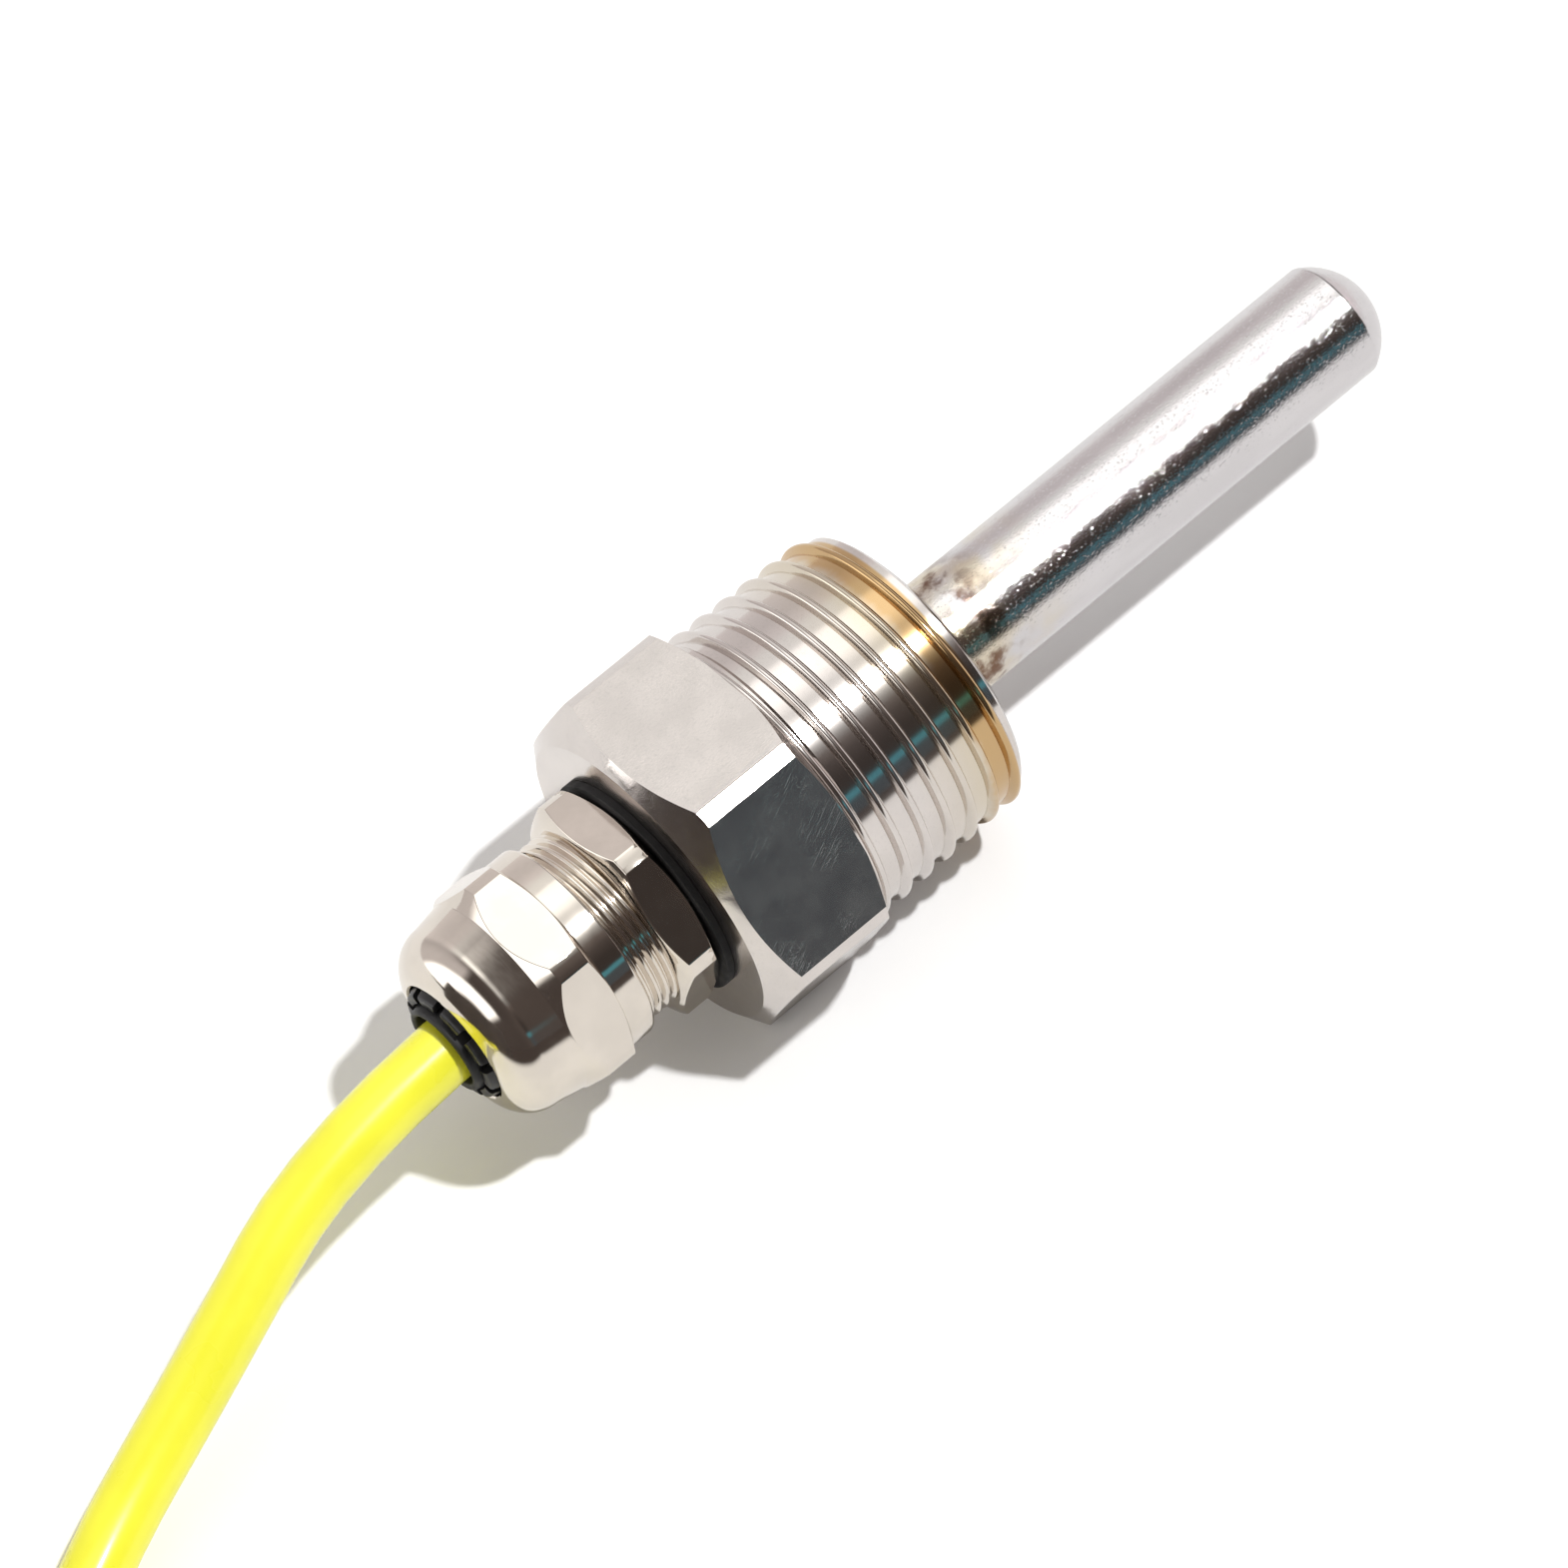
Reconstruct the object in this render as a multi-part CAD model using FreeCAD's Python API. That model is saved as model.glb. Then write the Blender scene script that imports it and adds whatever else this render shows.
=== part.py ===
"""Thermocouple probe with a threaded process fitting, a cable gland and a lead tied in a hank.

Millimetres. The probe lies along X with its tip toward +X, resting on one flat
of the large hexagon. The origin is under the middle of the probe, on the floor.
"""
import FreeCAD, Part
import math
import os

Vector = FreeCAD.Vector
ALONG = Vector(1, 0, 0)
TAN30 = math.tan(math.radians(30))

# Sizes of the process fitting
hex_flats = 22.0
hex_corner_trim = 0.6
hex_length = 9.0
face_circle_d = 20.4
shoulder_rim = 0.2
thread_length = 13.0
thread_end_d = 20.4
thread_taper = 1 / 16
thread_lead_in = 1.0

# Sizes of the sheath and of what is sealed inside it
sheath_d = 8.0
sheath_wall = 0.75
sheath_root_step = 0.4
insertion_length = 50.0
tip_rise = 2.5
tip_edge_radius = 0.4
tip_thickness = 1.2
sheath_socket_depth = 12.0
weld_leg = 1.2
wire_d = 0.8
wire_spacing = 2.1
lead_d = 1.3
crimp_d = 1.9
crimp_length = 5.0
junction_d = 1.6

# Sizes of the gland and its nut
gasket_thickness = 0.5
gasket_rim = 0.8
gland_thread_d = 12.8
gland_thread_pitch = 1.25
nut_wall = 0.6
gland_hex_length = 3.0
gland_bevel = 0.3
gland_thread_length = 7.0
gland_thread_shown = 2.1
gland_turn = -9.5
spigot_d = 11.9
spigot_length = 6.5
spigot_bore_room = 0.5
nut_turn = 9.4
nut_skirt = 1.9
nut_length = 9.9
nut_dome_length = 4.35
nut_mouth_radius = 2.6
seal_wall = 1.0
cage_wall = 0.85
cage_fingers = 10
cage_slot = 0.7

# Sizes of the lead
cable_d = 4.2
hank_layers = 5
hank_run = 73.0
hank_fold = 3.0
tail_d = 1.4
sleeve_wall = 0.3
sleeve_length = 20.0
ferrule_d = 1.9
ferrule_length = 9.0
tie_width = 3.2
tie_thickness = 0.7
tie_lock = 3.6

# Clearances
running = 0.07
slip = 0.05

# Stations along the axis, first from the fitting's face on the cable side
axis_z = hex_flats / 2
gland_flats = gland_thread_d + 2 * nut_wall
gland_x = -gasket_thickness
gland_top_x = gland_x - gland_hex_length
nut_start_x = gland_top_x - gland_thread_shown
mouth_x = nut_start_x - nut_length
thread_x = hex_length
end_x = hex_length + thread_length
tip_x = hex_length + insertion_length
face_at = -(mouth_x + tip_x) / 2


def at(x, y=0.0, z=0.0):
    """Point from a station along the axis and offsets from the axis."""
    return Vector(face_at + x, y, axis_z + z)


def turned(*steps):
    """Solid turned about the axis from corners (station, radius).

    A step holding two corners is an arc through the first one to the second.
    """
    edges = []
    last = steps[0]
    for step in steps[1:] + (steps[0],):
        if isinstance(step[0], tuple):
            through, end = step
            arc = Part.Arc(at(last[0], 0, last[1]), at(through[0], 0, through[1]), at(end[0], 0, end[1]))
            edges.append(arc.toShape())
        else:
            end = step
            edges.append(Part.makeLine(at(last[0], 0, last[1]), at(end[0], 0, end[1])))
        last = end
    return Part.Face(Part.Wire(edges)).revolve(at(0), ALONG, 360)


def rod(x0, x1, radius, y=0.0):
    """Plain round bar along the axis, moved sideways by y."""
    return Part.makeCylinder(radius, x1 - x0, at(x0, y), ALONG)


def hex_bar(x0, x1, flats, turn):
    """Hexagon bar along the axis, one flat facing up before it is turned."""
    corner = flats / 2 / math.cos(math.radians(30))
    points = []
    for step in range(7):
        angle = math.radians(30 + turn + 60 * step)
        points.append(at(x0, -corner * math.sin(angle), corner * math.cos(angle)))
    return Part.Face(Part.makePolygon(points)).extrude(ALONG * (x1 - x0))


def corner_radius(flats):
    """Radius the corners of a hexagon are turned down to."""
    return flats / 2 / math.cos(math.radians(30)) - hex_corner_trim / 2


def rounded_path(points):
    """Straight runs joined by tangent arcs, and the smallest arc radius."""
    edges = []
    start = points[0]
    smallest = None
    for before, corner, after in zip(points, points[1:], points[2:]):
        into = corner - before
        out = after - corner
        short = min(into.Length, out.Length)
        turn = into.getAngle(out)
        reach = 0.45 * short
        radius = reach / math.tan(turn / 2)
        smallest = radius if smallest is None else min(smallest, radius)
        into.normalize()
        out.normalize()
        first = corner - into * reach
        last = corner + out * reach
        inward = out - into
        inward.normalize()
        middle = corner + inward * (radius / math.cos(turn / 2) - radius)
        edges.append(Part.makeLine(start, first))
        edges.append(Part.Arc(first, middle, last).toShape())
        start = last
    edges.append(Part.makeLine(start, points[-1]))
    return Part.Wire(edges), smallest


def tube(name, points, diameter):
    """Round solid swept along a rounded path."""
    path, smallest = rounded_path(points)
    start = points[1] - points[0]
    section = Part.Wire([Part.makeCircle(diameter / 2, points[0], start)])
    solid = path.makePipeShell([section], True, False)
    share = solid.Volume / (math.pi * diameter ** 2 / 4 * path.Length)
    print(name, "length", round(path.Length, 1), "smallest bend", round(smallest, 1), "volume share", round(share, 4))
    return solid


nodes = {}

# Process fitting
hex_r = corner_radius(hex_flats)
face_r = face_circle_d / 2
rim_r = hex_flats / 2 + shoulder_rim
hex_blank = turned(
    (0, 0),
    (0, face_r),
    ((hex_r - face_r) * TAN30, hex_r),
    (hex_length - (hex_r - rim_r) * TAN30, hex_r),
    (hex_length, rim_r),
    (hex_length, 0),
)
fitting = hex_blank.common(hex_bar(-1, hex_length + 1, hex_flats, 0))
crest_end_x = end_x - thread_lead_in
thread_end_r = thread_end_d / 2
thread_root_r = thread_end_r + (crest_end_x - thread_x) * thread_taper / 2
fitting = fitting.fuse(turned(
    (thread_x - 1, 0),
    (thread_x - 1, thread_root_r),
    (thread_x, thread_root_r),
    (crest_end_x, thread_end_r),
    (end_x, thread_end_r - thread_lead_in),
    (end_x, 0),
))
sheath_r = sheath_d / 2
root_r = sheath_r - sheath_root_step / 2
sheath_x = end_x - sheath_socket_depth
spigot_end_x = gland_x + spigot_length
chamber_end_x = sheath_x - 0.5
spigot_r = spigot_d / 2
fitting = fitting.cut(turned(
    (-1, 0),
    (-1, spigot_r + slip),
    (spigot_end_x + 0.4, spigot_r + slip),
    (spigot_end_x + 0.4, spigot_r - 0.8),
    (chamber_end_x, spigot_r - 0.8),
    (chamber_end_x, sheath_r - sheath_wall),
    (sheath_x, sheath_r - sheath_wall),
    (sheath_x, root_r + slip / 2),
    (end_x + 1, root_r + slip / 2),
    (end_x + 1, 0),
))
nodes["process_fitting"] = fitting.removeSplitter()

# Sheath with its closed, domed end
bore_r = sheath_r - sheath_wall
dome_x = tip_x - tip_rise
dome_ball = (sheath_r ** 2 + tip_rise ** 2) / (2 * tip_rise)
inner_rise = tip_rise - tip_thickness
inner_ball = (bore_r ** 2 + inner_rise ** 2) / (2 * inner_rise)


def on_ball(apex, ball, radius):
    """Corner on a ball of the given radius whose top is at the apex."""
    return (apex - ball + math.sqrt(ball ** 2 - radius ** 2), radius)


sheath = turned(
    (sheath_x + 0.1, bore_r),
    (sheath_x + 0.1, root_r),
    (end_x + weld_leg, root_r),
    (end_x + weld_leg, sheath_r),
    (dome_x, sheath_r),
    (on_ball(tip_x, dome_ball, sheath_r / 2), (tip_x, 0)),
    (tip_x - tip_thickness, 0),
    (on_ball(tip_x - tip_thickness, inner_ball, bore_r / 2), (dome_x, bore_r)),
)
rim = []
for edge in sheath.Edges:
    box = edge.BoundBox
    if abs(box.XMax - face_at - dome_x) < 1e-6 and abs(box.YLength - sheath_d) < 1e-6 and box.XLength < 1e-6:
        rim.append(edge)
nodes["probe_sheath"] = sheath.makeFillet(tip_edge_radius, rim)

# Weld at the root of the sheath
nodes["weld_bead"] = turned(
    (end_x, root_r + slip / 2),
    (end_x, sheath_r + weld_leg),
    ((end_x + weld_leg * 0.55, sheath_r + weld_leg * 0.55), (end_x + weld_leg, sheath_r)),
    (end_x + weld_leg, root_r + slip / 2),
)

# Measuring element
half = wire_spacing / 2
insulator_end_x = dome_x - 2.5
junction_x = dome_x - 1.2
crimp_x = spigot_end_x + 0.2
insulator_x = crimp_x + crimp_length + 0.6
insulator = rod(insulator_x, insulator_end_x, bore_r - 0.2)


def capsule(radius):
    """Round-ended bead across the axis, over both wire ends."""
    reach = half + radius
    bow = radius * math.sqrt(0.5)
    edges = [
        Part.makeLine(at(junction_x, -reach), at(junction_x, reach)),
        Part.Arc(at(junction_x, reach), at(junction_x + bow, half + bow), at(junction_x + radius, half)).toShape(),
        Part.makeLine(at(junction_x + radius, half), at(junction_x + radius, -half)),
        Part.Arc(at(junction_x + radius, -half), at(junction_x + bow, -half - bow), at(junction_x, -reach)).toShape(),
    ]
    return Part.Face(Part.Wire(edges)).revolve(at(junction_x), Vector(0, 1, 0), 360)


bead = capsule(junction_d / 2)
nodes["hot_junction"] = bead
for sign, side in (("positive", 1), ("negative", -1)):
    y = side * half
    insulator = insulator.cut(rod(insulator_x - 1, insulator_end_x + 1, wire_d / 2 + slip, y))
    wire = rod(crimp_x + crimp_length - 2, junction_x, wire_d / 2, y)
    nodes["wire_" + sign] = wire.cut(bead)
    nodes["lead_" + sign] = rod(gland_x + 2.0, crimp_x + 2, lead_d / 2, y)
    crimp = rod(crimp_x, crimp_x + crimp_length, crimp_d / 2, y)
    crimp = crimp.cut(rod(crimp_x - 1, crimp_x + 2.1, lead_d / 2 + slip, y))
    nodes["crimp_" + sign] = crimp.cut(rod(crimp_x, crimp_x + crimp_length + 1, wire_d / 2 + slip, y))
nodes["insulator"] = insulator

# Packing round the junction and sealing compound round the crimps
packing_x = tip_x - tip_thickness - slip
pocket_r = half + junction_d / 2 + slip
pocket_x = junction_x + junction_d / 2 + slip
nodes["tip_packing"] = turned(
    (insulator_end_x + slip, pocket_r),
    (insulator_end_x + slip, bore_r - slip),
    on_ball(packing_x, inner_ball, bore_r - slip),
    (on_ball(packing_x, inner_ball, bore_r / 2), (packing_x, 0)),
    (pocket_x, 0),
    (pocket_x, pocket_r),
)
compound = rod(spigot_end_x + 0.45, chamber_end_x - slip, spigot_r - 0.8 - slip)
for y in (half, -half):
    compound = compound.cut(rod(spigot_end_x, chamber_end_x, crimp_d / 2 + slip, y))
nodes["sealing_compound"] = compound

# Gland gasket, body, seal and finger cage
cable_r = cable_d / 2
gland_r = corner_radius(gland_flats)
bevel_r = gland_flats / 2 - gland_bevel
gland_thread_r = gland_thread_d / 2
seal_bore_r = cable_r + running
seal_r = seal_bore_r + seal_wall
cage_bore_r = seal_r + running
cage_tip_r = cage_bore_r + cage_wall
mouth_r = cage_tip_r + running
cage_base_r = cage_tip_r + 0.45
seat_r = cage_base_r + running
passage_r = cable_r + spigot_bore_room
gland_end_x = gland_top_x - gland_thread_length
nodes["gland_gasket"] = turned(
    (gland_x, spigot_r + slip),
    (gland_x, gland_flats / 2 + gasket_rim),
    (0, gland_flats / 2 + gasket_rim),
    (0, spigot_r + slip),
)
body = turned(
    (gland_top_x, 0),
    (gland_top_x, bevel_r),
    (gland_top_x + (gland_r - bevel_r) * TAN30, gland_r),
    (gland_x - (gland_r - bevel_r) * TAN30, gland_r),
    (gland_x, bevel_r),
    (gland_x, 0),
).common(hex_bar(gland_top_x - 1, gland_x + 1, gland_flats, gland_turn))
body = body.fuse(turned(
    (gland_end_x, 0),
    (gland_end_x, gland_thread_r - 0.5),
    (gland_end_x + 0.5, gland_thread_r),
    (gland_top_x + 1, gland_thread_r),
    (gland_top_x + 1, spigot_r),
    (spigot_end_x - 0.5, spigot_r),
    (spigot_end_x, spigot_r - 0.5),
    (spigot_end_x, 0),
))
seat_floor_x = gland_end_x + 2.2
body = body.cut(turned(
    (gland_end_x - 1, 0),
    (gland_end_x - 1, seat_r),
    (seat_floor_x, seat_r),
    (seat_floor_x + (seat_r - passage_r) * TAN30, passage_r),
    (spigot_end_x + 1, passage_r),
    (spigot_end_x + 1, 0),
))
nodes["gland_body"] = body.removeSplitter()

nodes["gland_seal"] = turned(
    (seat_floor_x - 0.1, seal_bore_r),
    (seat_floor_x - 0.1, cage_base_r),
    (seat_floor_x - 0.8, cage_base_r),
    (seat_floor_x - 0.8, seal_r),
    (mouth_x + 0.3, seal_r),
    (mouth_x + 0.3, seal_bore_r),
)
cone_x = gland_end_x - 0.6
cone_r = gland_thread_r - 0.55
cone_end_x = mouth_x + 0.6
cage_flange_r = cone_r - running - 0.05
cage = turned(
    (seat_floor_x - 0.9, cage_bore_r),
    (seat_floor_x - 0.9, cage_base_r),
    (gland_end_x - 0.1, cage_base_r),
    (gland_end_x - 0.1, cage_flange_r),
    (cone_x, cage_flange_r),
    (cone_end_x, cage_tip_r),
    (mouth_x + 0.1, cage_tip_r),
    (mouth_x + 0.1, cage_bore_r),
)
for finger in range(cage_fingers):
    slot = Part.makeBox(cone_x - mouth_x + 1, cage_slot, gland_flats, at(mouth_x - 1, -cage_slot / 2, 0))
    slot.rotate(at(0), ALONG, 360 * finger / cage_fingers)
    cage = cage.cut(slot)
nodes["clamp_cage"] = cage

# Dome nut
nut_r = gland_flats / 2
skirt_r = nut_r - 0.1
hex_start_x = nut_start_x - nut_skirt
dome_start_x = mouth_x + nut_dome_length
round_x = mouth_x + nut_mouth_radius
rounding = nut_mouth_radius * math.sqrt(0.5)
crown_r = nut_r - 0.35
nut_outside = turned(
    (nut_start_x - 1, 0),
    (nut_start_x - 1, nut_r + 2),
    (dome_start_x + 1.3, nut_r + 2),
    (dome_start_x + 1.05, corner_radius(gland_flats)),
    (dome_start_x, nut_r - 0.05),
    (round_x, crown_r),
    ((round_x - rounding, crown_r - nut_mouth_radius + rounding), (mouth_x, crown_r - nut_mouth_radius)),
    (mouth_x, 0),
)
nut = hex_bar(mouth_x - 1, hex_start_x, gland_flats, nut_turn).common(nut_outside)
nut = nut.common(turned(
    (mouth_x - 1, 0),
    (mouth_x - 1, gland_r),
    (hex_start_x - (gland_r - skirt_r) * TAN30, gland_r),
    (hex_start_x + 0.1, skirt_r - 0.1 / TAN30),
    (hex_start_x + 0.1, 0),
))
nut = nut.fuse(turned(
    (hex_start_x - 1, 0),
    (hex_start_x - 1, skirt_r),
    (nut_start_x - 0.3, skirt_r),
    ((nut_start_x - 0.09, skirt_r - 0.09), (nut_start_x, skirt_r - 0.3)),
    (nut_start_x, 0),
))
nut = nut.cut(turned(
    (nut_start_x + 1, 0),
    (nut_start_x + 1, gland_thread_r + running),
    (cone_x + 0.1, gland_thread_r + running),
    (cone_x + 0.1, cone_r),
    (cone_x, cone_r),
    (cone_end_x, mouth_r),
    (mouth_x - 1, mouth_r),
    (mouth_x - 1, 0),
))
nodes["dome_nut"] = nut.removeSplitter()

# Lead: the stretch inside the gland, then the run down to the hank
entry_x = mouth_x + 3.0
nodes["cable_entry"] = rod(entry_x, gland_x + 2.0, cable_r)
route = [
    at(entry_x),
    at(mouth_x - 10.0),
    Vector(face_at + mouth_x - 23.0, -3.2, 6.0),
    Vector(face_at + mouth_x - 36.0, -6.5, cable_r),
    Vector(face_at + mouth_x - 50.5, -16.0, cable_r),
    Vector(face_at + mouth_x - 60.8, -21.95, cable_r),
]
run = tube("cable_run", route, cable_d)

# Hank: an oval of two turns to a layer, with its long runs in line with the probe
turn_pitch = cable_d + 0.05
turn_in_r = hank_fold * cable_d
turn_out_r = turn_in_r + turn_pitch
bundle_r = (turn_in_r + turn_out_r) / 2
inner_r = turn_in_r - cable_r
outer_r = turn_out_r + cable_r
hank_height = (hank_layers - 1) * turn_pitch + cable_d
lay_in = math.radians(-60)
near = Vector(route[-1].x - turn_out_r * math.cos(lay_in), route[-1].y - turn_out_r * math.sin(lay_in), 0)
far = near - ALONG * hank_run
UP = Vector(0, 0, 1)
bevel = cable_r * 0.6


def bundle(base, side):
    """Section of the wound turns beside a base point, standing across Y."""
    corners = [
        (inner_r, bevel),
        (inner_r + bevel, 0),
        (outer_r - bevel, 0),
        (outer_r, bevel),
        (outer_r, hank_height - bevel),
        (outer_r - bevel, hank_height),
        (inner_r + bevel, hank_height),
        (inner_r, hank_height - bevel),
        (inner_r, bevel),
    ]
    return Part.Face(Part.makePolygon([base + Vector(0, side * reach, height) for reach, height in corners]))


hank = bundle(near, -1).revolve(near, UP, 180)
hank = hank.fuse([
    bundle(far, 1).revolve(far, UP, 180),
    bundle(near, 1).extrude(far - near),
    bundle(near, -1).extrude(far - near),
]).removeSplitter()
nodes["cable_run"] = run.cut(Part.makeCylinder(outer_r + 0.02, hank_height, near))

# Tie round one run of the hank, at its middle, with the lock inside the oval
proud = 0.2
tie_at = (near + far) * 0.5
tie_x = tie_at.x - tie_width / 2


def across_tie(shape):
    """Edges that run across the width of the tie."""
    return [edge for edge in shape.Edges if abs(edge.Vertexes[0].X - edge.Vertexes[-1].X) > tie_width / 2]


loop = Part.makeBox(
    tie_width,
    outer_r - inner_r + 2 * proud,
    hank_height + proud,
    Vector(tie_x, tie_at.y + inner_r - proud, 0),
)
loop = loop.makeChamfer(bevel, across_tie(loop))
hole = Part.makeBox(
    tie_width + 2,
    outer_r - inner_r - 2 * (tie_thickness - proud),
    hank_height + proud - 2 * tie_thickness,
    Vector(tie_x - 1, tie_at.y + inner_r + tie_thickness - proud, tie_thickness),
)
hole = hole.makeChamfer(bevel * 0.8, across_tie(hole))
lock_y = tie_at.y + inner_r + tie_thickness - proud - 0.2 - tie_lock
lock = Part.makeBox(tie_width + 1.2, tie_lock, 4.4, Vector(tie_x - 0.6, lock_y, hank_height * 0.4))
lock = lock.makeFillet(0.5, lock.Edges)
tie = loop.cut(hole).fuse(lock).removeSplitter()
nodes["cable_coil"] = hank.cut(tie)
nodes["coil_tie"] = tie

# Far end of the lead, round the near end of the hank and along the top of its other run
sleeve_r = cable_r + sleeve_wall
end_z = hank_height + sleeve_r
end_y = near.y - bundle_r
end_at = near.x - 20.0
sleeve_at = end_at + sleeve_length * 0.6
bend_start = Vector(near.x, near.y + bundle_r, end_z)
bend = Part.Face(Part.Wire([Part.makeCircle(cable_r, bend_start, ALONG)])).revolve(near, UP, -180)
nodes["cable_end"] = bend.fuse(
    Part.makeCylinder(cable_r, near.x - end_at, Vector(end_at, end_y, end_z), ALONG)
).removeSplitter()
sleeve = Part.makeCylinder(sleeve_r, sleeve_length, Vector(sleeve_at - sleeve_length, end_y, end_z), ALONG)
socket = Part.makeCylinder(cable_r + slip, sleeve_length, Vector(end_at - slip, end_y, end_z), ALONG)
nodes["end_sleeve"] = sleeve.cut(socket)
tail_at = sleeve_at - sleeve_length
for sign, side in (("positive", -1), ("negative", 1)):
    shift = side * (tail_d / 2 + slip)
    fan = side * 1.4
    low_z = hank_height + tail_d / 2 + 0.25
    points = [
        Vector(tail_at, end_y + shift, end_z),
        Vector(tail_at - 11, end_y + shift + fan * 0.3, end_z - 1.2),
        Vector(tail_at - 23, end_y + shift + fan, low_z),
        Vector(tail_at - 36, end_y + shift + fan * 1.6, low_z),
    ]
    tail = tube("tail_" + sign, points, tail_d)
    heading = points[-1] - points[-2]
    heading.normalize()
    barrel = Part.makeCylinder(ferrule_d / 2, ferrule_length, points[-1] - heading * 2.5, heading)
    socket = Part.makeCylinder(tail_d / 2 + slip, 2.5, points[-1] - heading * 2.5, heading)
    nodes["tail_" + sign] = tail.cut(nodes["end_sleeve"])
    nodes["ferrule_" + sign] = barrel.cut(socket)

os.makedirs("parts", exist_ok=True)
for name, shape in nodes.items():
    if not shape.isValid():
        print("not valid:", name)
    if len(shape.Solids) != 1:
        print("solids in", name, len(shape.Solids))
    box = shape.BoundBox
    print(
        name.ljust(17),
        "x %.2f %.2f  y %.2f %.2f  z %.2f %.2f" % (box.XMin, box.XMax, box.YMin, box.YMax, box.ZMin, box.ZMax),
        "volume %.1f" % shape.Volume,
    )
    shape.exportStep("parts/" + name + ".step")
print("face at", round(face_at, 3), "hank from", round(near.x, 3), round(near.y, 3), "to", round(far.x, 3))
print("turns", round(turn_in_r, 3), round(turn_out_r, 3), "top run", round(end_y, 3), round(end_z, 3))
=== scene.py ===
"""Looks of a thermocouple probe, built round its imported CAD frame.

The file is laid out as an add-on and run as a script. Everything is in metres in the
frame of the CAD model: the probe lies along X with its tip toward +X, on the floor Z = 0.
"""
import math

import bpy
from mathutils import Matrix, Vector


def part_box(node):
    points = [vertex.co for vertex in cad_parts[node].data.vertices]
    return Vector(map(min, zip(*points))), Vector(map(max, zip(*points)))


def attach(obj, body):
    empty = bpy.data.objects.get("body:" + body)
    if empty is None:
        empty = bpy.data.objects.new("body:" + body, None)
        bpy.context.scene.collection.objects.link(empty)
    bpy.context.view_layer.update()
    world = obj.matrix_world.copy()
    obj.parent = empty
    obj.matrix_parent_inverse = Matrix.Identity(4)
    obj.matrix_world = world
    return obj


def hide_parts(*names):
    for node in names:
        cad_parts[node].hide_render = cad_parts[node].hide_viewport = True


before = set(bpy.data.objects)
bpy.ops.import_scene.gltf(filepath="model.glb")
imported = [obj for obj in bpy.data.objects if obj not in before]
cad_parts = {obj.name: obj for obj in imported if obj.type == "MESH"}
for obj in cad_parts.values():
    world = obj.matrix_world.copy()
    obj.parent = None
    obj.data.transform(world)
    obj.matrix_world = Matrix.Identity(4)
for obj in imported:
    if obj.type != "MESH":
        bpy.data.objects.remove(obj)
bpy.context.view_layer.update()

bl_info = {
    "name": "Thermocouple Probe Looks",
    "version": (1, 0, 0),
    "blender": (4, 5, 0),
    "location": "3D View > Sidebar > Probe",
    "description": "Models the visible pieces of a thermocouple probe and their finishes",
    "category": "Object",
}

MM = 0.001
FULL_TURN = 2 * math.pi
COS30 = math.cos(math.radians(30))
TAN30 = math.tan(math.radians(30))
TAN35 = math.tan(math.radians(35))

# Stations along the axis are millimetres from the fitting's face on the cable side
FACE_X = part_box("process_fitting")[0].x
AXIS_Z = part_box("process_fitting")[1].z / 2
GLAND_FACE = -0.5
GLAND_TOP = -3.5
GLAND_END = -10.5
CONE_START = -11.1
CONE_END = -14.9
NUT_MOUTH = -15.5

# Grooves of the two threads: depth, width of the root, flank in degrees and rounding of the edge
FITTING_GROOVE = (0.46, 1.02, 28, 0.12)
GLAND_GROOVE = (0.34, 0.06, 30, 0.05)
PIPE_TAPER = 1 / 16

# From the gland the lead bends to the floor, then lies in an oval hank with round ends; millimetres
LEAD_START = (
    (-34.25, 0, 11),
    (-47.25, 0, 11),
    (-60.25, -3.2, 6),
    (-73.25, -6.5, 2.1),
    (-87.75, -16, 2.1),
)
COIL_LOW, COIL_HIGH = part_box("cable_coil")
HANK_Y = (COIL_LOW.y + COIL_HIGH.y) / 2 / MM
END_R = (COIL_HIGH.y - COIL_LOW.y) / 2 / MM
NEAR_X = COIL_HIGH.x / MM - END_R
FAR_X = COIL_LOW.x / MM + END_R
HANK_TOP = COIL_HIGH.z / MM
HANK_LAYERS = 5
FOLD_STEP = 15
RUN_STOPS = (0.03, 0.16, 0.3, 0.42, 0.5, 0.58, 0.7, 0.84, 0.97)
TURN_GAP = 0.05
TIE_LIFT = 0.7

# Surroundings from the far horizon over the top to the near one: degrees, tone and its strength
SKY = (
    (-90, "wall", 1.12),
    (-75, "wall", 1.0),
    (-62, "wall", 0.95),
    (-50, "wall", 1.12),
    (-42, "softbox", 0.56),
    (-32, "softbox", 0.60),
    (-29, "softbox", 0.90),
    (-25, "softbox", 1.0),
    (-7, "softbox", 1.0),
    (0, "softbox", 0.80),
    (6, "softbox", 0.54),
    (12, "softbox", 0.52),
    (26, "softbox", 0.46),
    (33, "softbox", 0.22),
    (42, "room", 2.2),
    (50, "room", 1.3),
    (62, "room", 0.8),
    (73, "room", 0.8),
    (75, "skirting", 1.0),
    (78, "skirting", 1.0),
    (80, "slate", 1.0),
)

# Camera in millimetres with its right and back directions, and the direction of the lamp
CAMERA_PLACE = (-145.73, -254.71, 395.24)
CAMERA_RIGHT = (0.7413, -0.6492, -0.1702)
CAMERA_BACK = (-0.2798, -0.5294, 0.8009)
LAMP_FROM = (0.30, -0.36, 0.88)


# Settings


def length_prop(name, description, default):
    """Length in metres."""
    return bpy.props.FloatProperty(
        name=name, description=description, default=default, unit="LENGTH", precision=6)


def angle_prop(name, description, degrees):
    """Angle, given in degrees."""
    return bpy.props.FloatProperty(
        name=name, description=description, default=math.radians(degrees), subtype="ANGLE")


def count_prop(name, description, default):
    """Number of things."""
    return bpy.props.IntProperty(name=name, description=description, default=default)


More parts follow.
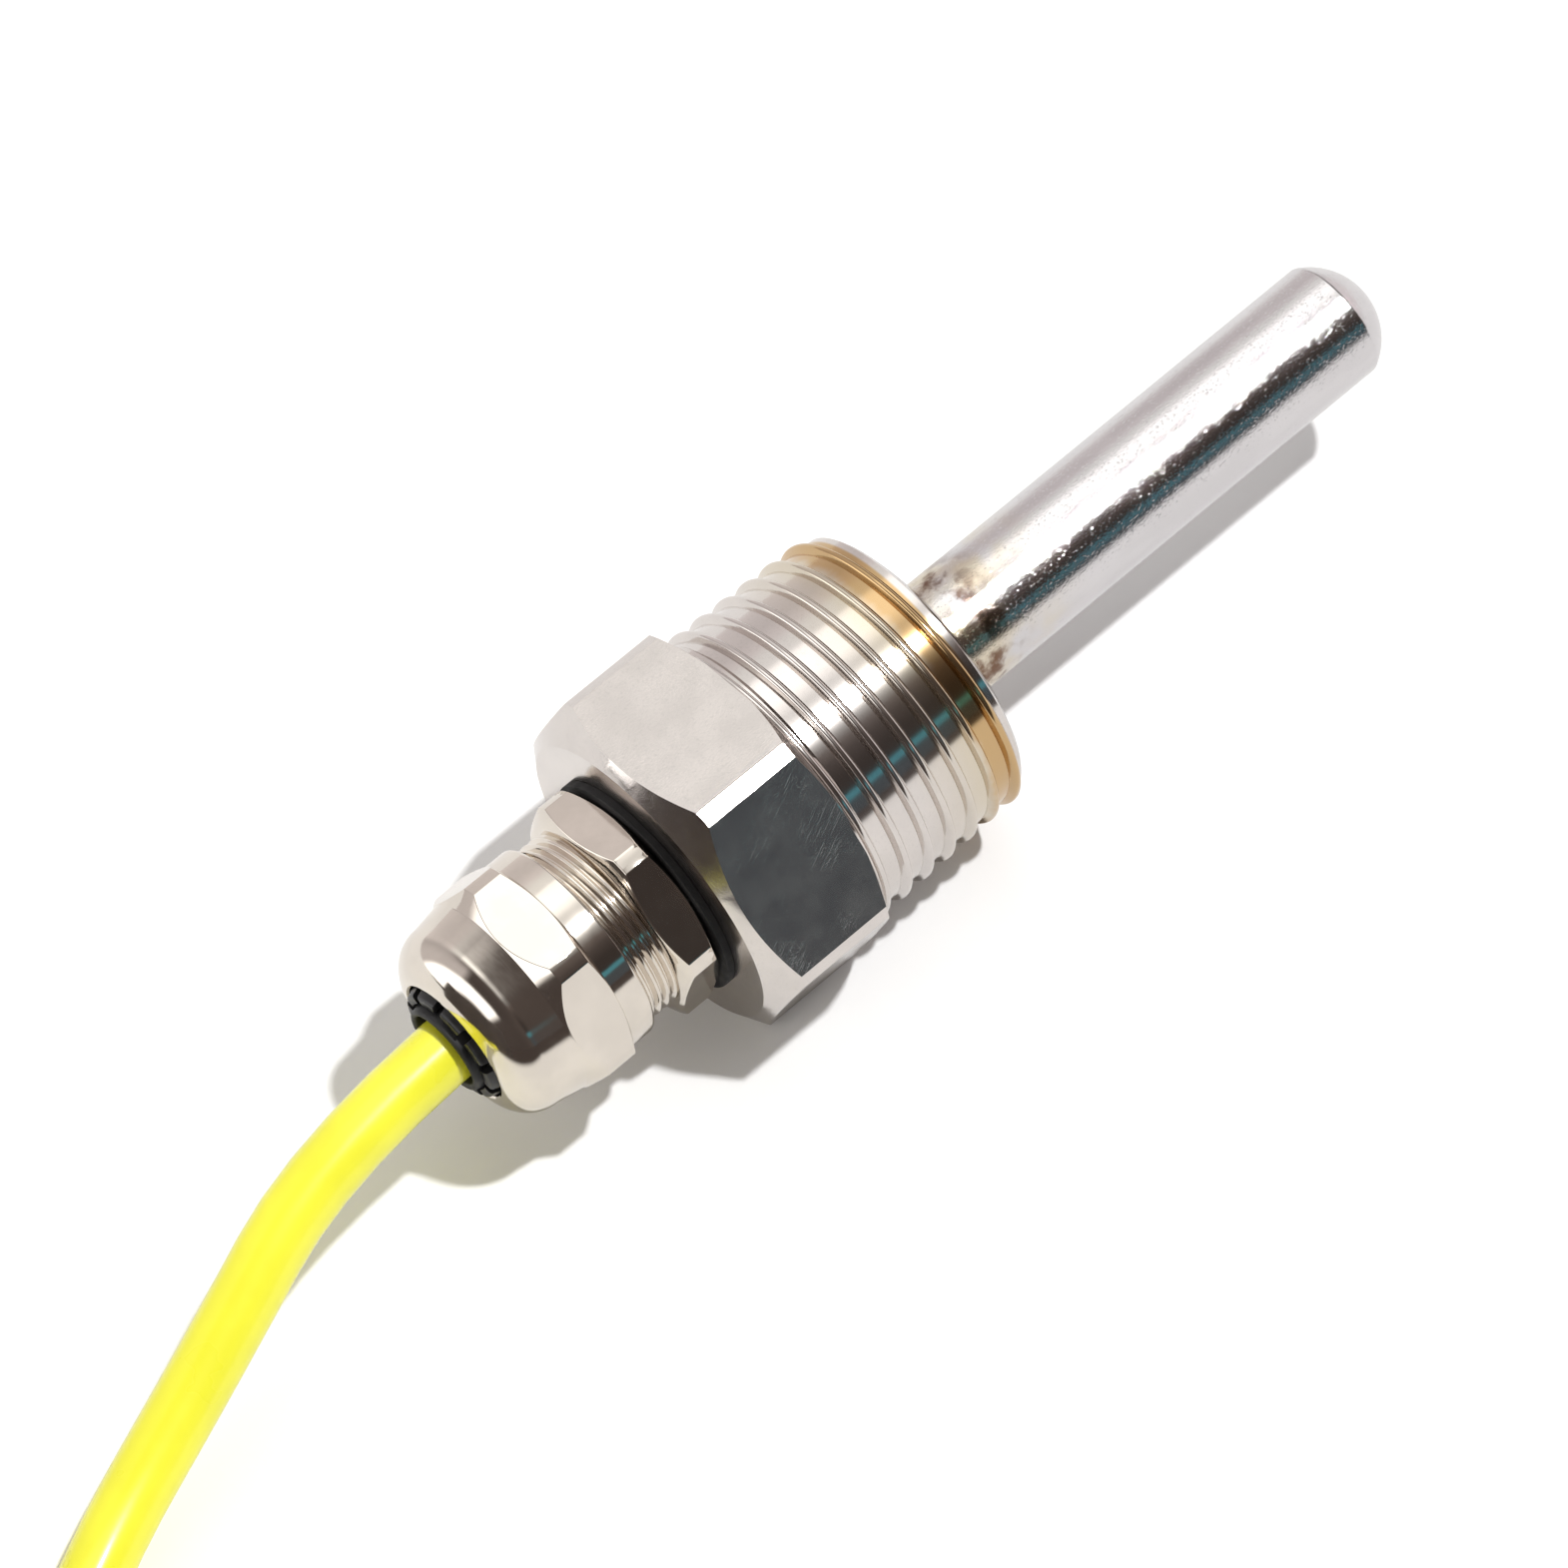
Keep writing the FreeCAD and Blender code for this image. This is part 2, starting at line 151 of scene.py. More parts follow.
def level_prop(name, description, default):
    """Strength, share or other plain number."""
    return bpy.props.FloatProperty(name=name, description=description, default=default)


def colour_prop(name, description, default):
    """Colour in linear light."""
    return bpy.props.FloatVectorProperty(
        name=name, description=description, default=default, subtype="COLOR", min=0, max=1)


class FittingSizes(bpy.types.PropertyGroup):
    """Sizes of the threaded process fitting"""
    hex_flats: length_prop("Hexagon", "Width of the hexagon across its flats", 0.022)
    hex_length: length_prop("Hexagon length", "Length of the hexagon along the axis", 0.009)
    corner_d: length_prop("Corner circle", "Diameter the hexagon's corners are turned down to", 0.0248)
    thread_d: length_prop("Thread", "Crest diameter of the tapered thread at the hexagon", 0.02115)
    thread_length: length_prop("Thread length", "Length of the tapered thread", 0.013)
    thread_pitch: length_prop("Thread pitch", "Step of the tapered thread for each turn", 0.001814)


class SheathSizes(bpy.types.PropertyGroup):
    """Sizes of the closed sheath"""
    diameter: length_prop("Sheath", "Outer diameter of the sheath", 0.008)
    length: length_prop("Insertion length", "Length from the hexagon's shoulder to the tip", 0.050)
    wall: length_prop("Wall", "Thickness of the sheath's wall", 0.00075)
    weld_leg: length_prop("Weld leg", "Height of the weld at the root of the sheath", 0.0012)


class GlandSizes(bpy.types.PropertyGroup):
    """Sizes of the cable gland and its nut"""
    flats: length_prop("Gland hexagon", "Width of the gland and of its nut across the flats", 0.014)
    thread_d: length_prop("Gland thread", "Crest diameter of the gland's thread", 0.0128)
    thread_pitch: length_prop("Gland thread step", "Travel of the nut on its thread for each turn", 0.00125)
    thread_starts: count_prop("Gland thread starts", "Number of ridges that wind side by side", 2)
    body_turn: angle_prop("Gland turn", "How far the gland's hexagon is screwed round", -9.5)
    nut_turn: angle_prop("Nut turn", "How far the nut's hexagon is screwed round", 9.4)
    fingers: count_prop("Fingers", "Number of clamping fingers, an even number", 10)


class LeadSizes(bpy.types.PropertyGroup):
    """Sizes of the lead, its hank and its ends"""
    cable_d: length_prop("Cable", "Outer diameter of the cable", 0.0042)
    length: length_prop("Cable length", "Whole length of the cable from the gland", 2.0)
    fold_r: length_prop("Fold", "Radius of the hank's inner turn round its ends", 0.0126)
    tail_d: length_prop("Tail", "Diameter of each insulated core at the cable's end", 0.0014)
    tail_length: length_prop("Tail length", "Length of each core from the sleeve", 0.036)
    tie_width: length_prop("Tie width", "Width of the tie round the hank", 0.0032)


class FinishColours(bpy.types.PropertyGroup):
    """Colours of the finishes"""
    steel: colour_prop("Steel", "Colour of the fitting's stainless steel", (0.735, 0.69, 0.658))
    tube: colour_prop("Tube", "Colour of the sheath's stainless steel", (0.70, 0.68, 0.685))
    nickel: colour_prop("Nickel", "Colour of the nickel plating", (0.78, 0.72, 0.645))
    straw: colour_prop("Straw tint", "First heat colour beside the weld", (0.70, 0.62, 0.48))
    amber: colour_prop("Amber tint", "Heat colour of the thread's last ridge", (0.60, 0.41, 0.21))
    brown: colour_prop("Brown tint", "Deepest heat colour beside the weld", (0.17, 0.085, 0.05))
    jacket: colour_prop("Jacket", "Colour of the cable's jacket", (0.96, 0.93, 0.05))
    red_core: colour_prop("Red core", "Colour of the negative core", (0.55, 0.02, 0.015))
    rubber: colour_prop("Rubber", "Colour of the gasket and the seal", (0.012, 0.012, 0.013))
    plastic: colour_prop("Plastic", "Colour of the finger cage and the tie", (0.02, 0.02, 0.022))


class StageSettings(bpy.types.PropertyGroup):
    """Floor, lamps, surroundings and camera"""
    floor: colour_prop("Floor", "Colour of the floor", (0.97, 0.97, 0.97))
    floor_lift: level_prop("Floor lift", "Glow that whitens the floor for the camera alone", 0.05)
    sun: level_prop("Key lamp", "Strength of the lamp that casts the crisp shadow", 2.5)
    softbox: level_prop("Softbox", "Brightness of the overhead softbox", 1.6)
    fill: level_prop("Fill light", "Share of the surroundings that lights dull surfaces", 0.72)
    wall: colour_prop("Far wall", "Light surroundings behind the probe", (0.70, 0.65, 0.645))
    room: colour_prop("Dark room", "Dark surroundings on the camera's side", (0.062, 0.050, 0.046))
    skirting: colour_prop("Skirting", "Teal line low on the camera's side", (0.09, 0.29, 0.35))
    slate: colour_prop("Slate", "Surroundings just above the near edge of the floor", (0.075, 0.085, 0.095))
    lens: level_prop("Lens", "Focal length of the camera in millimetres", 183.44)


# Handling of objects


def pick(piece):
    """Make one object the only selected one, and active."""
    bpy.ops.object.select_all(action="DESELECT")
    piece.select_set(True)
    bpy.context.view_layer.objects.active = piece


def edit(piece):
    """Go into a piece with the whole of its mesh selected."""
    pick(piece)
    bpy.ops.object.mode_set(mode="EDIT")
    bpy.ops.mesh.select_all(action="SELECT")


def leave():
    """Come back out of a piece."""
    bpy.ops.object.mode_set(mode="OBJECT")


def settle(piece):
    """Put the object's place, turn and scale into its mesh."""
    pick(piece)
    bpy.ops.object.transform_apply(location=True, rotation=True, scale=True)
    return piece


def modify(piece, kind, **settings):
    """Add a modifier, set it and apply it."""
    modifier = piece.modifiers.new(kind.title(), kind)
    for name, value in settings.items():
        setattr(modifier, name, value)
    pick(piece)
    bpy.ops.object.modifier_apply(modifier=modifier.name)
    return piece


def combine(piece, tool, operation):
    """Join, cut or trim a piece with a tool that is then thrown away."""
    modify(piece, "BOOLEAN", operation=operation, solver="EXACT", object=tool)
    bpy.data.meshes.remove(tool.data)
    if not piece.data.polygons:
        raise RuntimeError("nothing is left of " + piece.name)
    return piece


def close_seams(piece):
    """Merge doubled points and turn all faces outward."""
    edit(piece)
    bpy.ops.mesh.remove_doubles(threshold=1e-7)
    bpy.ops.mesh.normals_make_consistent(inside=False)
    leave()
    return piece


def mend(piece):
    """Close what Booleans left open: merge points, drop loose edges and fill small holes."""
    edit(piece)
    bpy.ops.mesh.remove_doubles(threshold=1e-6)
    bpy.ops.mesh.dissolve_degenerate(threshold=1e-6)
    bpy.ops.mesh.delete_loose()
    bpy.ops.mesh.select_all(action="SELECT")
    bpy.ops.mesh.fill_holes(sides=0)
    bpy.ops.mesh.select_all(action="SELECT")
    bpy.ops.mesh.normals_make_consistent(inside=False)
    leave()
    return piece


def soften(piece, width, angle=22, segments=2):
    """Break the edges that are sharper than an angle."""
    return modify(
        piece, "BEVEL", width=width * MM, segments=segments,
        limit_method="ANGLE", angle_limit=math.radians(angle), use_clamp_overlap=True)


def shade(piece, angle=32):
    """Smooth shading over everything gentler than an angle, led by the larger faces."""
    pick(piece)
    bpy.ops.object.shade_smooth_by_angle(angle=math.radians(angle))
    return modify(piece, "WEIGHTED_NORMAL", weight=90, keep_sharp=True)


def hand_over(piece, name, material, body, slot, *nodes):
    """Name a finished piece, coat it and put it on its CAD body."""
    piece.name = name
    piece.data.name = name
    piece.data.materials.clear()
    piece.data.materials.append(material)
    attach(piece, body)
    if nodes:
        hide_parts(*nodes)
    return piece


# Shapes


def spot(x, radius=0.0, turn=0.0):
    """Point at a station and radius in millimetres, turned from straight up toward -Y."""
    side = math.radians(turn)
    return Vector((
        FACE_X + x * MM,
        -radius * math.sin(side) * MM,
        AXIS_Z + radius * math.cos(side) * MM,
    ))


def bow(x, radius, size, start, end, parts):
    """Corners along an arc, angles in degrees from +X toward the outside."""
    corners = []
    for step in range(parts + 1):
        angle = math.radians(start + (end - start) * step / parts)
        corners.append((x + size * math.cos(angle), radius + size * math.sin(angle)))
    return corners


def drawn(corners):
    """Line through corners (station, radius), drawn as a chain of edges over the axis."""
    bpy.ops.mesh.primitive_plane_add(size=MM, enter_editmode=True, location=spot(*corners[0]))
    bpy.ops.mesh.select_mode(type="VERT")
    bpy.ops.mesh.select_all(action="SELECT")
    bpy.ops.mesh.merge(type="CENTER")
    for (x0, r0), (x1, r1) in zip(corners, corners[1:]):
        bpy.ops.mesh.extrude_region_move(
            TRANSFORM_OT_translate={"value": ((x1 - x0) * MM, 0, (r1 - r0) * MM)})
    leave()
    return bpy.context.active_object


def turned(corners, parts=144):
    """Solid turned about the axis from a line that is closed or starts and ends on the axis."""
    piece = drawn(corners)
    edit(piece)
    bpy.ops.mesh.spin(steps=parts, angle=FULL_TURN, center=spot(0), axis=(1, 0, 0))
    leave()
    settle(piece)
    return close_seams(piece)


def ring(corners, parts=144):
    """Turned ring whose section is a closed outline."""
    return turned(list(corners) + [corners[0]], parts)


def hexagon(x0, x1, flats, turn):
    """Hexagon bar between two stations, one flat up before it is turned."""
    bpy.ops.mesh.primitive_cylinder_add(
        vertices=6, radius=flats / 2 / COS30 * MM,
        depth=(x1 - x0) * MM, location=spot((x0 + x1) / 2))
    bar = bpy.context.active_object
    bar.rotation_mode = "ZYX"
    bar.rotation_euler = (turn, math.pi / 2, 0)
    return settle(bar)


def block(size, place, turn=0.0):
    """Box of a size in metres round a place, turned about X."""
    bpy.ops.mesh.primitive_cube_add(size=1, location=place)
    box = bpy.context.active_object
    box.scale = size
    box.rotation_euler = (turn, 0, 0)
    return settle(box)


def threaded(x0, x1, crest_d, pitch, groove, taper=0.0, starts=1, parts=128):
    """Threaded bar between two stations; a groove is its depth, root, flank and rounded edge."""
    depth, root, flank, edge = groove
    side = depth * math.tan(math.radians(flank))
    radius = edge * math.tan(math.radians(45 + flank / 2))
    half = [(0.0, depth), (root / 2, depth)]
    steps = 4
    for step in range(steps, -1, -1):
        angle = math.radians((90 - flank) * step / steps)
        half.append((
            root / 2 + side + edge - radius * math.sin(angle), radius * (1 - math.cos(angle))))
    half.append((pitch / 2, 0.0))
    tooth = half + [(pitch - along, deep) for along, deep in reversed(half[:-1])]
    lead = pitch * starts
    start = x0 - 2 * lead
    turns = math.ceil((x1 - x0) / lead) + 4
    line = [(start, crest_d / 2 - depth)]
    for ridge in range(starts):
        begin = start + ridge * pitch
        line += [(begin + along, crest_d / 2 - deep) for along, deep in tooth[1:]]
    piece = drawn(line)
    bpy.context.scene.cursor.location = spot(x0)
    pick(piece)
    bpy.ops.object.origin_set(type="ORIGIN_CURSOR")
    modify(
        piece, "SCREW", axis="X", angle=FULL_TURN, screw_offset=lead * MM, iterations=turns,
        steps=parts, render_steps=parts, use_merge_vertices=True, merge_threshold=1e-7,
        use_smooth_shade=False)
    if taper:
        length = piece.dimensions.x / MM
        modify(
            piece, "SIMPLE_DEFORM", deform_method="TAPER", deform_axis="X",
            factor=-length * taper / crest_d)
    settle(piece)
    close_seams(piece)
    for x, first in ((x0, True), (x1, False)):
        edit(piece)
        bpy.ops.mesh.bisect(
            plane_co=spot(x), plane_no=(1, 0, 0), threshold=1e-8, use_fill=True,
            clear_inner=first, clear_outer=not first)
        leave()
    return close_seams(piece)


# Materials


def finish_tree(name):
    """New material with an unlinked shader; gives the material, its shader and the place."""
    material = bpy.data.materials.new(name)
    material.use_nodes = True
    tree = material.node_tree
    tree.nodes.clear()
    output = tree.nodes.new("ShaderNodeOutputMaterial")
    shader = tree.nodes.new("ShaderNodeBsdfPrincipled")
    tree.links.new(shader.outputs[0], output.inputs["Surface"])
    place = tree.nodes.new("ShaderNodeTexCoord").outputs["Object"]
    return material, shader, place


def linked(value):
    """Whether a value is a link to another node."""
    return isinstance(value, bpy.types.NodeSocket)


def put(kind, inputs, output=0, **settings):
    """Add a node to the tree its links come from, fill its inputs and give back an output."""
    tree = next(filter(linked, inputs.values())).id_data
    node = tree.nodes.new("ShaderNode" + kind)
    for name, value in settings.items():
        setattr(node, name, value)
    for key, value in inputs.items():
        if linked(value):
            tree.links.new(value, node.inputs[key])
        else:
            node.inputs[key].default_value = value
    return node.outputs[output]


def ray(tree, kind):
    """1 for rays of a kind and 0 for others."""
    return tree.nodes.new("ShaderNodeLightPath").outputs["Is " + kind + " Ray"]


def noise(place, size, detail=3.0, stretch=(1, 1, 1), rough=0.55, turn=None):
    """Soft noise with features of about a size in millimetres, stretched along turned axes."""
    if turn:
        place = put("Mapping", {"Vector": place, "Rotation": turn})
    scaled = put("Mapping", {"Vector": place, "Scale": [1 / (size * MM * s) for s in stretch]})
    inputs = {"Vector": scaled, "Scale": 1.0, "Detail": detail, "Roughness": rough}
    return put("TexNoise", inputs)


def ramp(value, low, high, to_low=0.0, to_high=1.0):
    """Smooth change from one value to another as the input goes from low to high."""
    return put(
        "MapRange",
        {"Value": value, "From Min": low, "From Max": high, "To Min": to_low, "To Max": to_high},
        interpolation_type="SMOOTHSTEP")


def blend(share, first, second):
    """Mix of two colours, each a colour or a link."""
    tones = {0: share}
    for key, colour in ((6, first), (7, second)):
        tones[key] = colour if linked(colour) else (*colour, 1.0)
    return put("Mix", tones, 2, data_type="RGBA")


def bands(value, stops):
    """Colours that follow one another as the input goes from 0 to 1."""
    tree = value.id_data
    node = tree.nodes.new("ShaderNodeValToRGB")
    tree.links.new(value, node.inputs[0])
    marks = node.color_ramp.elements
    marks.remove(marks[1])
    marks[0].position = stops[0][0]
    marks[0].color = (*stops[0][1], 1.0)
    for stop, colour in stops[1:]:
        mark = marks.new(stop)
        mark.color = (*colour, 1.0)
    return node.outputs[0]


def sums(first, second, operation="ADD"):
    """Sum or another operation on two values."""
    return put("Math", {0: first, 1: second}, operation=operation)


def times(first, second):
    """Product of two values."""
    return sums(first, second, "MULTIPLY")


def axis(place, number):
    """One coordinate of a place, 0 to 2 for X to Z."""
    return put("SeparateXYZ", {0: place}, number)


def tone(colour, factor):
    """A colour made lighter or darker."""
    return tuple(part * factor for part in colour)


def dents(height, depth, under=None):
    """Surface relief over another one, its depth in millimetres."""
    inputs = {"Height": height, "Distance": depth * MM, "Strength": 1.0}
    if under is not None:
        inputs["Normal"] = under
    return put("Bump", inputs)


def station(place):
    """Station along the axis in metres from the fitting's face."""
    return sums(axis(place, 0), FACE_X, "SUBTRACT")


def coat(shader, colour, roughness, relief, metal=0.0):
    """Link a finish's colour, roughness and relief to its shader."""
    for name, link in (("Base Color", colour), ("Roughness", roughness), ("Normal", relief)):
        shader.id_data.links.new(link, shader.inputs[name])
    shader.inputs["Metallic"].default_value = metal


def heat_tint(place, colours, base):
    """Straw heat colour on the last ridges, amber on the last one, and a clean lead-in."""
    wander = times(noise(place, 1.6, 3.0, (1.6, 1, 1)), 1.2 * MM)
    shifted = sums(sums(station(place), wander), 0.6 * MM, "SUBTRACT")
    clean = ramp(station(place), 20.75 * MM, 20.95 * MM, 1.0, 0.0)
    for start, end, share, colour in (
        (13.5, 17.0, 0.35, colours.straw),
        (16.6, 18.2, 0.65, colours.straw),
        (18.3, 19.3, 1.0, colours.amber),
    ):
        amount = times(ramp(shifted, start * MM, end * MM, 0.0, share), clean)
        base = blend(amount, base, colour)
    return base


def steel_finish(colours):
    """Milled flats and a bright turned thread in stainless steel, heat-tinted beside the weld."""
    material, shader, place = finish_tree("stainless_fitting")
    steel = colours.steel
    cloud = noise(place, 2.2, 4.0)
    base = blend(ramp(cloud, 0.35, 0.7), tone(steel, 0.97), tone(steel, 1.02))
    specks = ramp(noise(place, 0.2, 2.0), 0.50, 0.75, 0.0, 0.35)
    base = heat_tint(place, colours, blend(specks, base, tone(steel, 0.82)))
    # Only the hexagon, up to its shoulder at 9 mm, is milled and scratched
    milled = ramp(station(place), 9.0 * MM, 9.3 * MM, 1.0, 0.0)
    dull = times(ramp(cloud, 0.3, 0.7, 0.02, 0.07), milled)
    relief = dents(times(noise(place, 0.14, 3.0), milled), 0.003)
    worn = times(ramp(noise(place, 5.0, 2.0), 0.42, 0.60), milled)
    for turn in (0.5, -0.35, 1.2):
        scratch = noise(place, 0.06, 1.0, (45, 1, 1), 0.5, (turn, turn, 0))
        relief = dents(times(ramp(scratch, 0.62, 0.72), worn), 0.0012, relief)
    coat(shader, base, sums(dull, 0.12), relief, 1.0)
    return material


def sheath_finish(colours):
    """Drawn stainless tube with a grainy pickled surface and smudges at its root."""
    material, shader, place = finish_tree("stainless_sheath")
    steel = colours.tube
    cloud = noise(place, 1.5, 4.0, (3, 1, 1))
    base = blend(ramp(cloud, 0.35, 0.7), tone(steel, 0.97), tone(steel, 1.03))
    along = station(place)
    warm = times(
        ramp(noise(place, 4.0, 2.0), 0.36, 0.58), ramp(along, 26 * MM, 33 * MM, 0.9, 0.0))
    base = blend(warm, base, colours.straw)
    smudge = times(
        ramp(noise(place, 2.2, 4.0), 0.47, 0.62), ramp(along, 24.5 * MM, 28.5 * MM, 0.95, 0.0))
    base = blend(smudge, base, colours.brown)
    grain = dents(noise(place, 0.15, 3.0, (1.8, 1, 1), 0.7), 0.013)
    pits = ramp(noise(place, 0.15, 2.0, (1.5, 1, 1)), 0.56, 0.78)
    rough = ramp(cloud, 0.3, 0.7, 0.085, 0.115)
    coat(shader, base, rough, dents(pits, 0.010, grain), 1.0)
    return material


def nickel_finish(colours):
    """Bright nickel plating on brass, with fine handling marks."""
    material, shader, place = finish_tree("nickel_plate")
    nickel = colours.nickel
    cloud = noise(place, 3.0, 3.0)
    base = blend(ramp(cloud, 0.35, 0.7), tone(nickel, 0.95), tone(nickel, 1.04))
    rough = ramp(cloud, 0.3, 0.7, 0.075, 0.11)
    rings = dents(noise(place, 0.07, 2.0, (1, 12, 12)), 0.0006)
    coat(shader, base, rough, dents(cloud, 0.010, rings), 1.0)
    return material


def moulded_finish(name, colour, rough, size, depth):
    """Moulded rubber, plastic or resin with a fine uneven skin."""
    material, shader, place = finish_tree(name)
    cloud = noise(place, size * 6, 4.0)
    base = blend(ramp(cloud, 0.3, 0.75), tone(colour, 0.85), tone(colour, 1.18))
    dull = ramp(cloud, 0.3, 0.7, rough * 0.88, min(1.0, rough * 1.12))
    coat(shader, base, dull, dents(noise(place, size, 3.0), depth))
    return material


def wire_finish(name, colour, rough):
    """Drawn or plated wire metal with a fine uneven skin."""
    material, shader, place = finish_tree(name)
    cloud = noise(place, 0.8, 3.0)
    base = blend(ramp(cloud, 0.3, 0.7), tone(colour, 0.9), tone(colour, 1.08))
    dull = ramp(cloud, 0.3, 0.7, rough * 0.85, rough * 1.2)
    coat(shader, base, dull, dents(noise(place, 0.06, 2.0), 0.0015), 1.0)
    return material


def jacket_finish(name, colour, rough):
    """Extruded cable jacket, smooth and a little uneven along its length."""
    material, shader, place = finish_tree(name)
    cloud = noise(place, 5.0, 3.0)
    base = blend(ramp(cloud, 0.3, 0.7), tone(colour, 0.96), tone(colour, 1.03))
    dull = ramp(cloud, 0.3, 0.7, rough * 0.9, rough * 1.15)
    coat(shader, base, dull, dents(noise(place, 0.6, 2.0), 0.004))
    shader.inputs["Coat Weight"].default_value = 0.5
    shader.inputs["Coat Roughness"].default_value = 0.08
    return material


# Pieces of the lead


def smooth_step(value, low, high):
    """Share from 0 to 1 that rises smoothly between two values."""
    share = min(1.0, max(0.0, (value - low) / (high - low)))
    return share * share * (3 - 2 * share)


def over_tie(share):
    """Share by which the cable is raised where it passes the tie, half way along a run."""
    return 1 - smooth_step(abs(share - 0.5), 0.05, 0.3)


def fold(x, start, radius, end_radius, z, span=180):
    """Control points round one end of the hank, clockwise, in millimetres and degrees."""
    points = []
    steps = span // FOLD_STEP
    for step in range(steps):
        share = (step + 0.5) / steps
        turn = math.radians(start - span * share)
        reach = radius + (end_radius - radius) * smooth_step(share, 0, 1)
        reach /= math.cos(math.radians(FOLD_STEP / 2))
        points.append((x + reach * math.cos(turn), HANK_Y + reach * math.sin(turn), z))
    return points


def straight(x0, x1, y, z0, z1, climb=(0.1, 0.9), lift=0.0):
    """Control points of one run of the hank, which may climb and be raised by the tie."""
    points = []
    for share in RUN_STOPS:
        z = z0 + (z1 - z0) * smooth_step(share, *climb)
        points.append((x0 + (x1 - x0) * share, y, z + lift * over_tie(share)))
    return points


def front_run(radius, end_radius, z, rise=0.0):
    """Control points round the near end of the hank and along its front."""
    points = fold(NEAR_X, 90, radius, end_radius, z)
    return points + straight(NEAR_X, FAR_X, HANK_Y - end_radius, z, z + rise)


def back_run(radius, end_radius, z, rise=0.0, climb=(0.1, 0.9)):
    """Control points round the far end of the hank and along its back, over the tie."""
    points = fold(FAR_X, -90, radius, end_radius, z)
    return points + straight(FAR_X, NEAR_X, HANK_Y + end_radius, z, z + rise, climb, TIE_LIFT)


def hank_route(cable, inner, top):
    """Control points of the hank, layer on layer, and of the end that lies along its top."""
    pitch = cable + TURN_GAP
    outer = inner + pitch
    middle = (inner + outer) / 2
    points = fold(NEAR_X, -60, outer, outer, cable / 2, 30)
    points += straight(NEAR_X, FAR_X, HANK_Y - outer, cable / 2, cable / 2)
    for layer in range(HANK_LAYERS):
        z = cable / 2 + layer * pitch
        if layer % 2 == 0:
            rise = pitch if layer < HANK_LAYERS - 1 else top - z
            points += back_run(outer, outer, z) + front_run(outer, inner, z)
            points += back_run(inner, inner, z, rise, (0.58, 0.98))
        else:
            points += front_run(inner, inner, z) + back_run(inner, outer, z)
            points += front_run(outer, outer, z, pitch)
    points += fold(NEAR_X, 90, inner, middle, top)
    points += [(NEAR_X - along, HANK_Y - middle, top) for along in (1, 7, 13.5, 20)]
    return [Vector(point) * MM for point in points]


def lay(piece, place, heading):
    """Move a piece modelled on the axis from station 0 to a place and heading."""
    piece.location = -spot(0)
    settle(piece)
    piece.rotation_mode = "QUATERNION"
    piece.rotation_quaternion = heading.to_track_quat("X", "Z")
    piece.location = place
    return settle(piece)


def cord_curve(name, points, diameter):
    """Smooth round cord along control points."""
    line = bpy.data.curves.new(name, "CURVE")
    line.dimensions = "3D"
    spline = line.splines.new("NURBS")
    spline.points.add(len(points) - 1)
    for knot, place in zip(spline.points, points):
        knot.co = (*place, 1.0)
    spline.order_u = 3
    spline.use_endpoint_u = True
    spline.resolution_u = 6
    line.bevel_depth = diameter / 2
    line.bevel_resolution = 8
    line.use_fill_caps = True
    cord = bpy.data.objects.new(name, line)
    bpy.context.scene.collection.objects.link(cord)
    return cord


# Operators


class PROBE_OT_fitting(bpy.types.Operator):
    """Model the hexagon fitting with its tapered thread and bores"""
    bl_idname = "probe.fitting"
    bl_label = "Process Fitting"

    def execute(self, context):
        sizes = context.scene.probe_fitting
        flats = sizes.hex_flats / MM
        length = sizes.hex_length / MM
        corner = sizes.corner_d / MM / 2
        face = 10.2
        rim = flats / 2 + 0.2
        piece = turned([
            (0, 0), (0, face), ((corner - face) * TAN35, corner),
            (length - (corner - rim) * TAN30, corner), (length, rim), (length, 0),
        ])
        combine(piece, hexagon(-1, length + 1, flats, 0), "INTERSECT")
        soften(piece, 0.14, 22, 3)
        end = length + sizes.thread_length / MM
        crest = sizes.thread_d / MM
        pitch = sizes.thread_pitch / MM
        thread = threaded(
            length - 0.6, end + 0.5, crest, pitch, FITTING_GROOVE, PIPE_TAPER)
        lead_in = end - 1.1
        end_r = crest / 2 - (lead_in - length) * PIPE_TAPER / 2
        combine(thread, turned([
            (length - 0.5, 0), (length - 0.5, crest), (lead_in, crest), (lead_in, end_r + 0.02),
            (end - 0.5, end_r - 0.75), (end, end_r - 1.90), (end, 0),
        ]), "INTERSECT")
        run_out = crest / 2 - 0.25
        combine(thread, turned([
            (length - 0.4, 0), (length - 0.4, run_out), (length + 0.75, run_out),
            (length + 1.35, run_out - 0.6), (length + 1.35, 0),
        ]), "UNION")
        combine(piece, thread, "UNION")
        spigot_r, chamber_r, wire_r, socket_r = 6.0, 5.15, 3.25, 3.825
        combine(piece, turned([
            (-1, 0), (-1, spigot_r), (6.4, spigot_r), (6.4, chamber_r), (9.5, chamber_r),
            (9.5, wire_r), (10, wire_r), (10, socket_r), (end + 1, socket_r), (end + 1, 0),
        ]), "DIFFERENCE")
        mend(piece)
        shade(piece, 30)
        hand_over(
            piece, "fitting", steel_finish(context.scene.probe_finish), "probe", "stainless",
            "process_fitting")
        return {"FINISHED"}


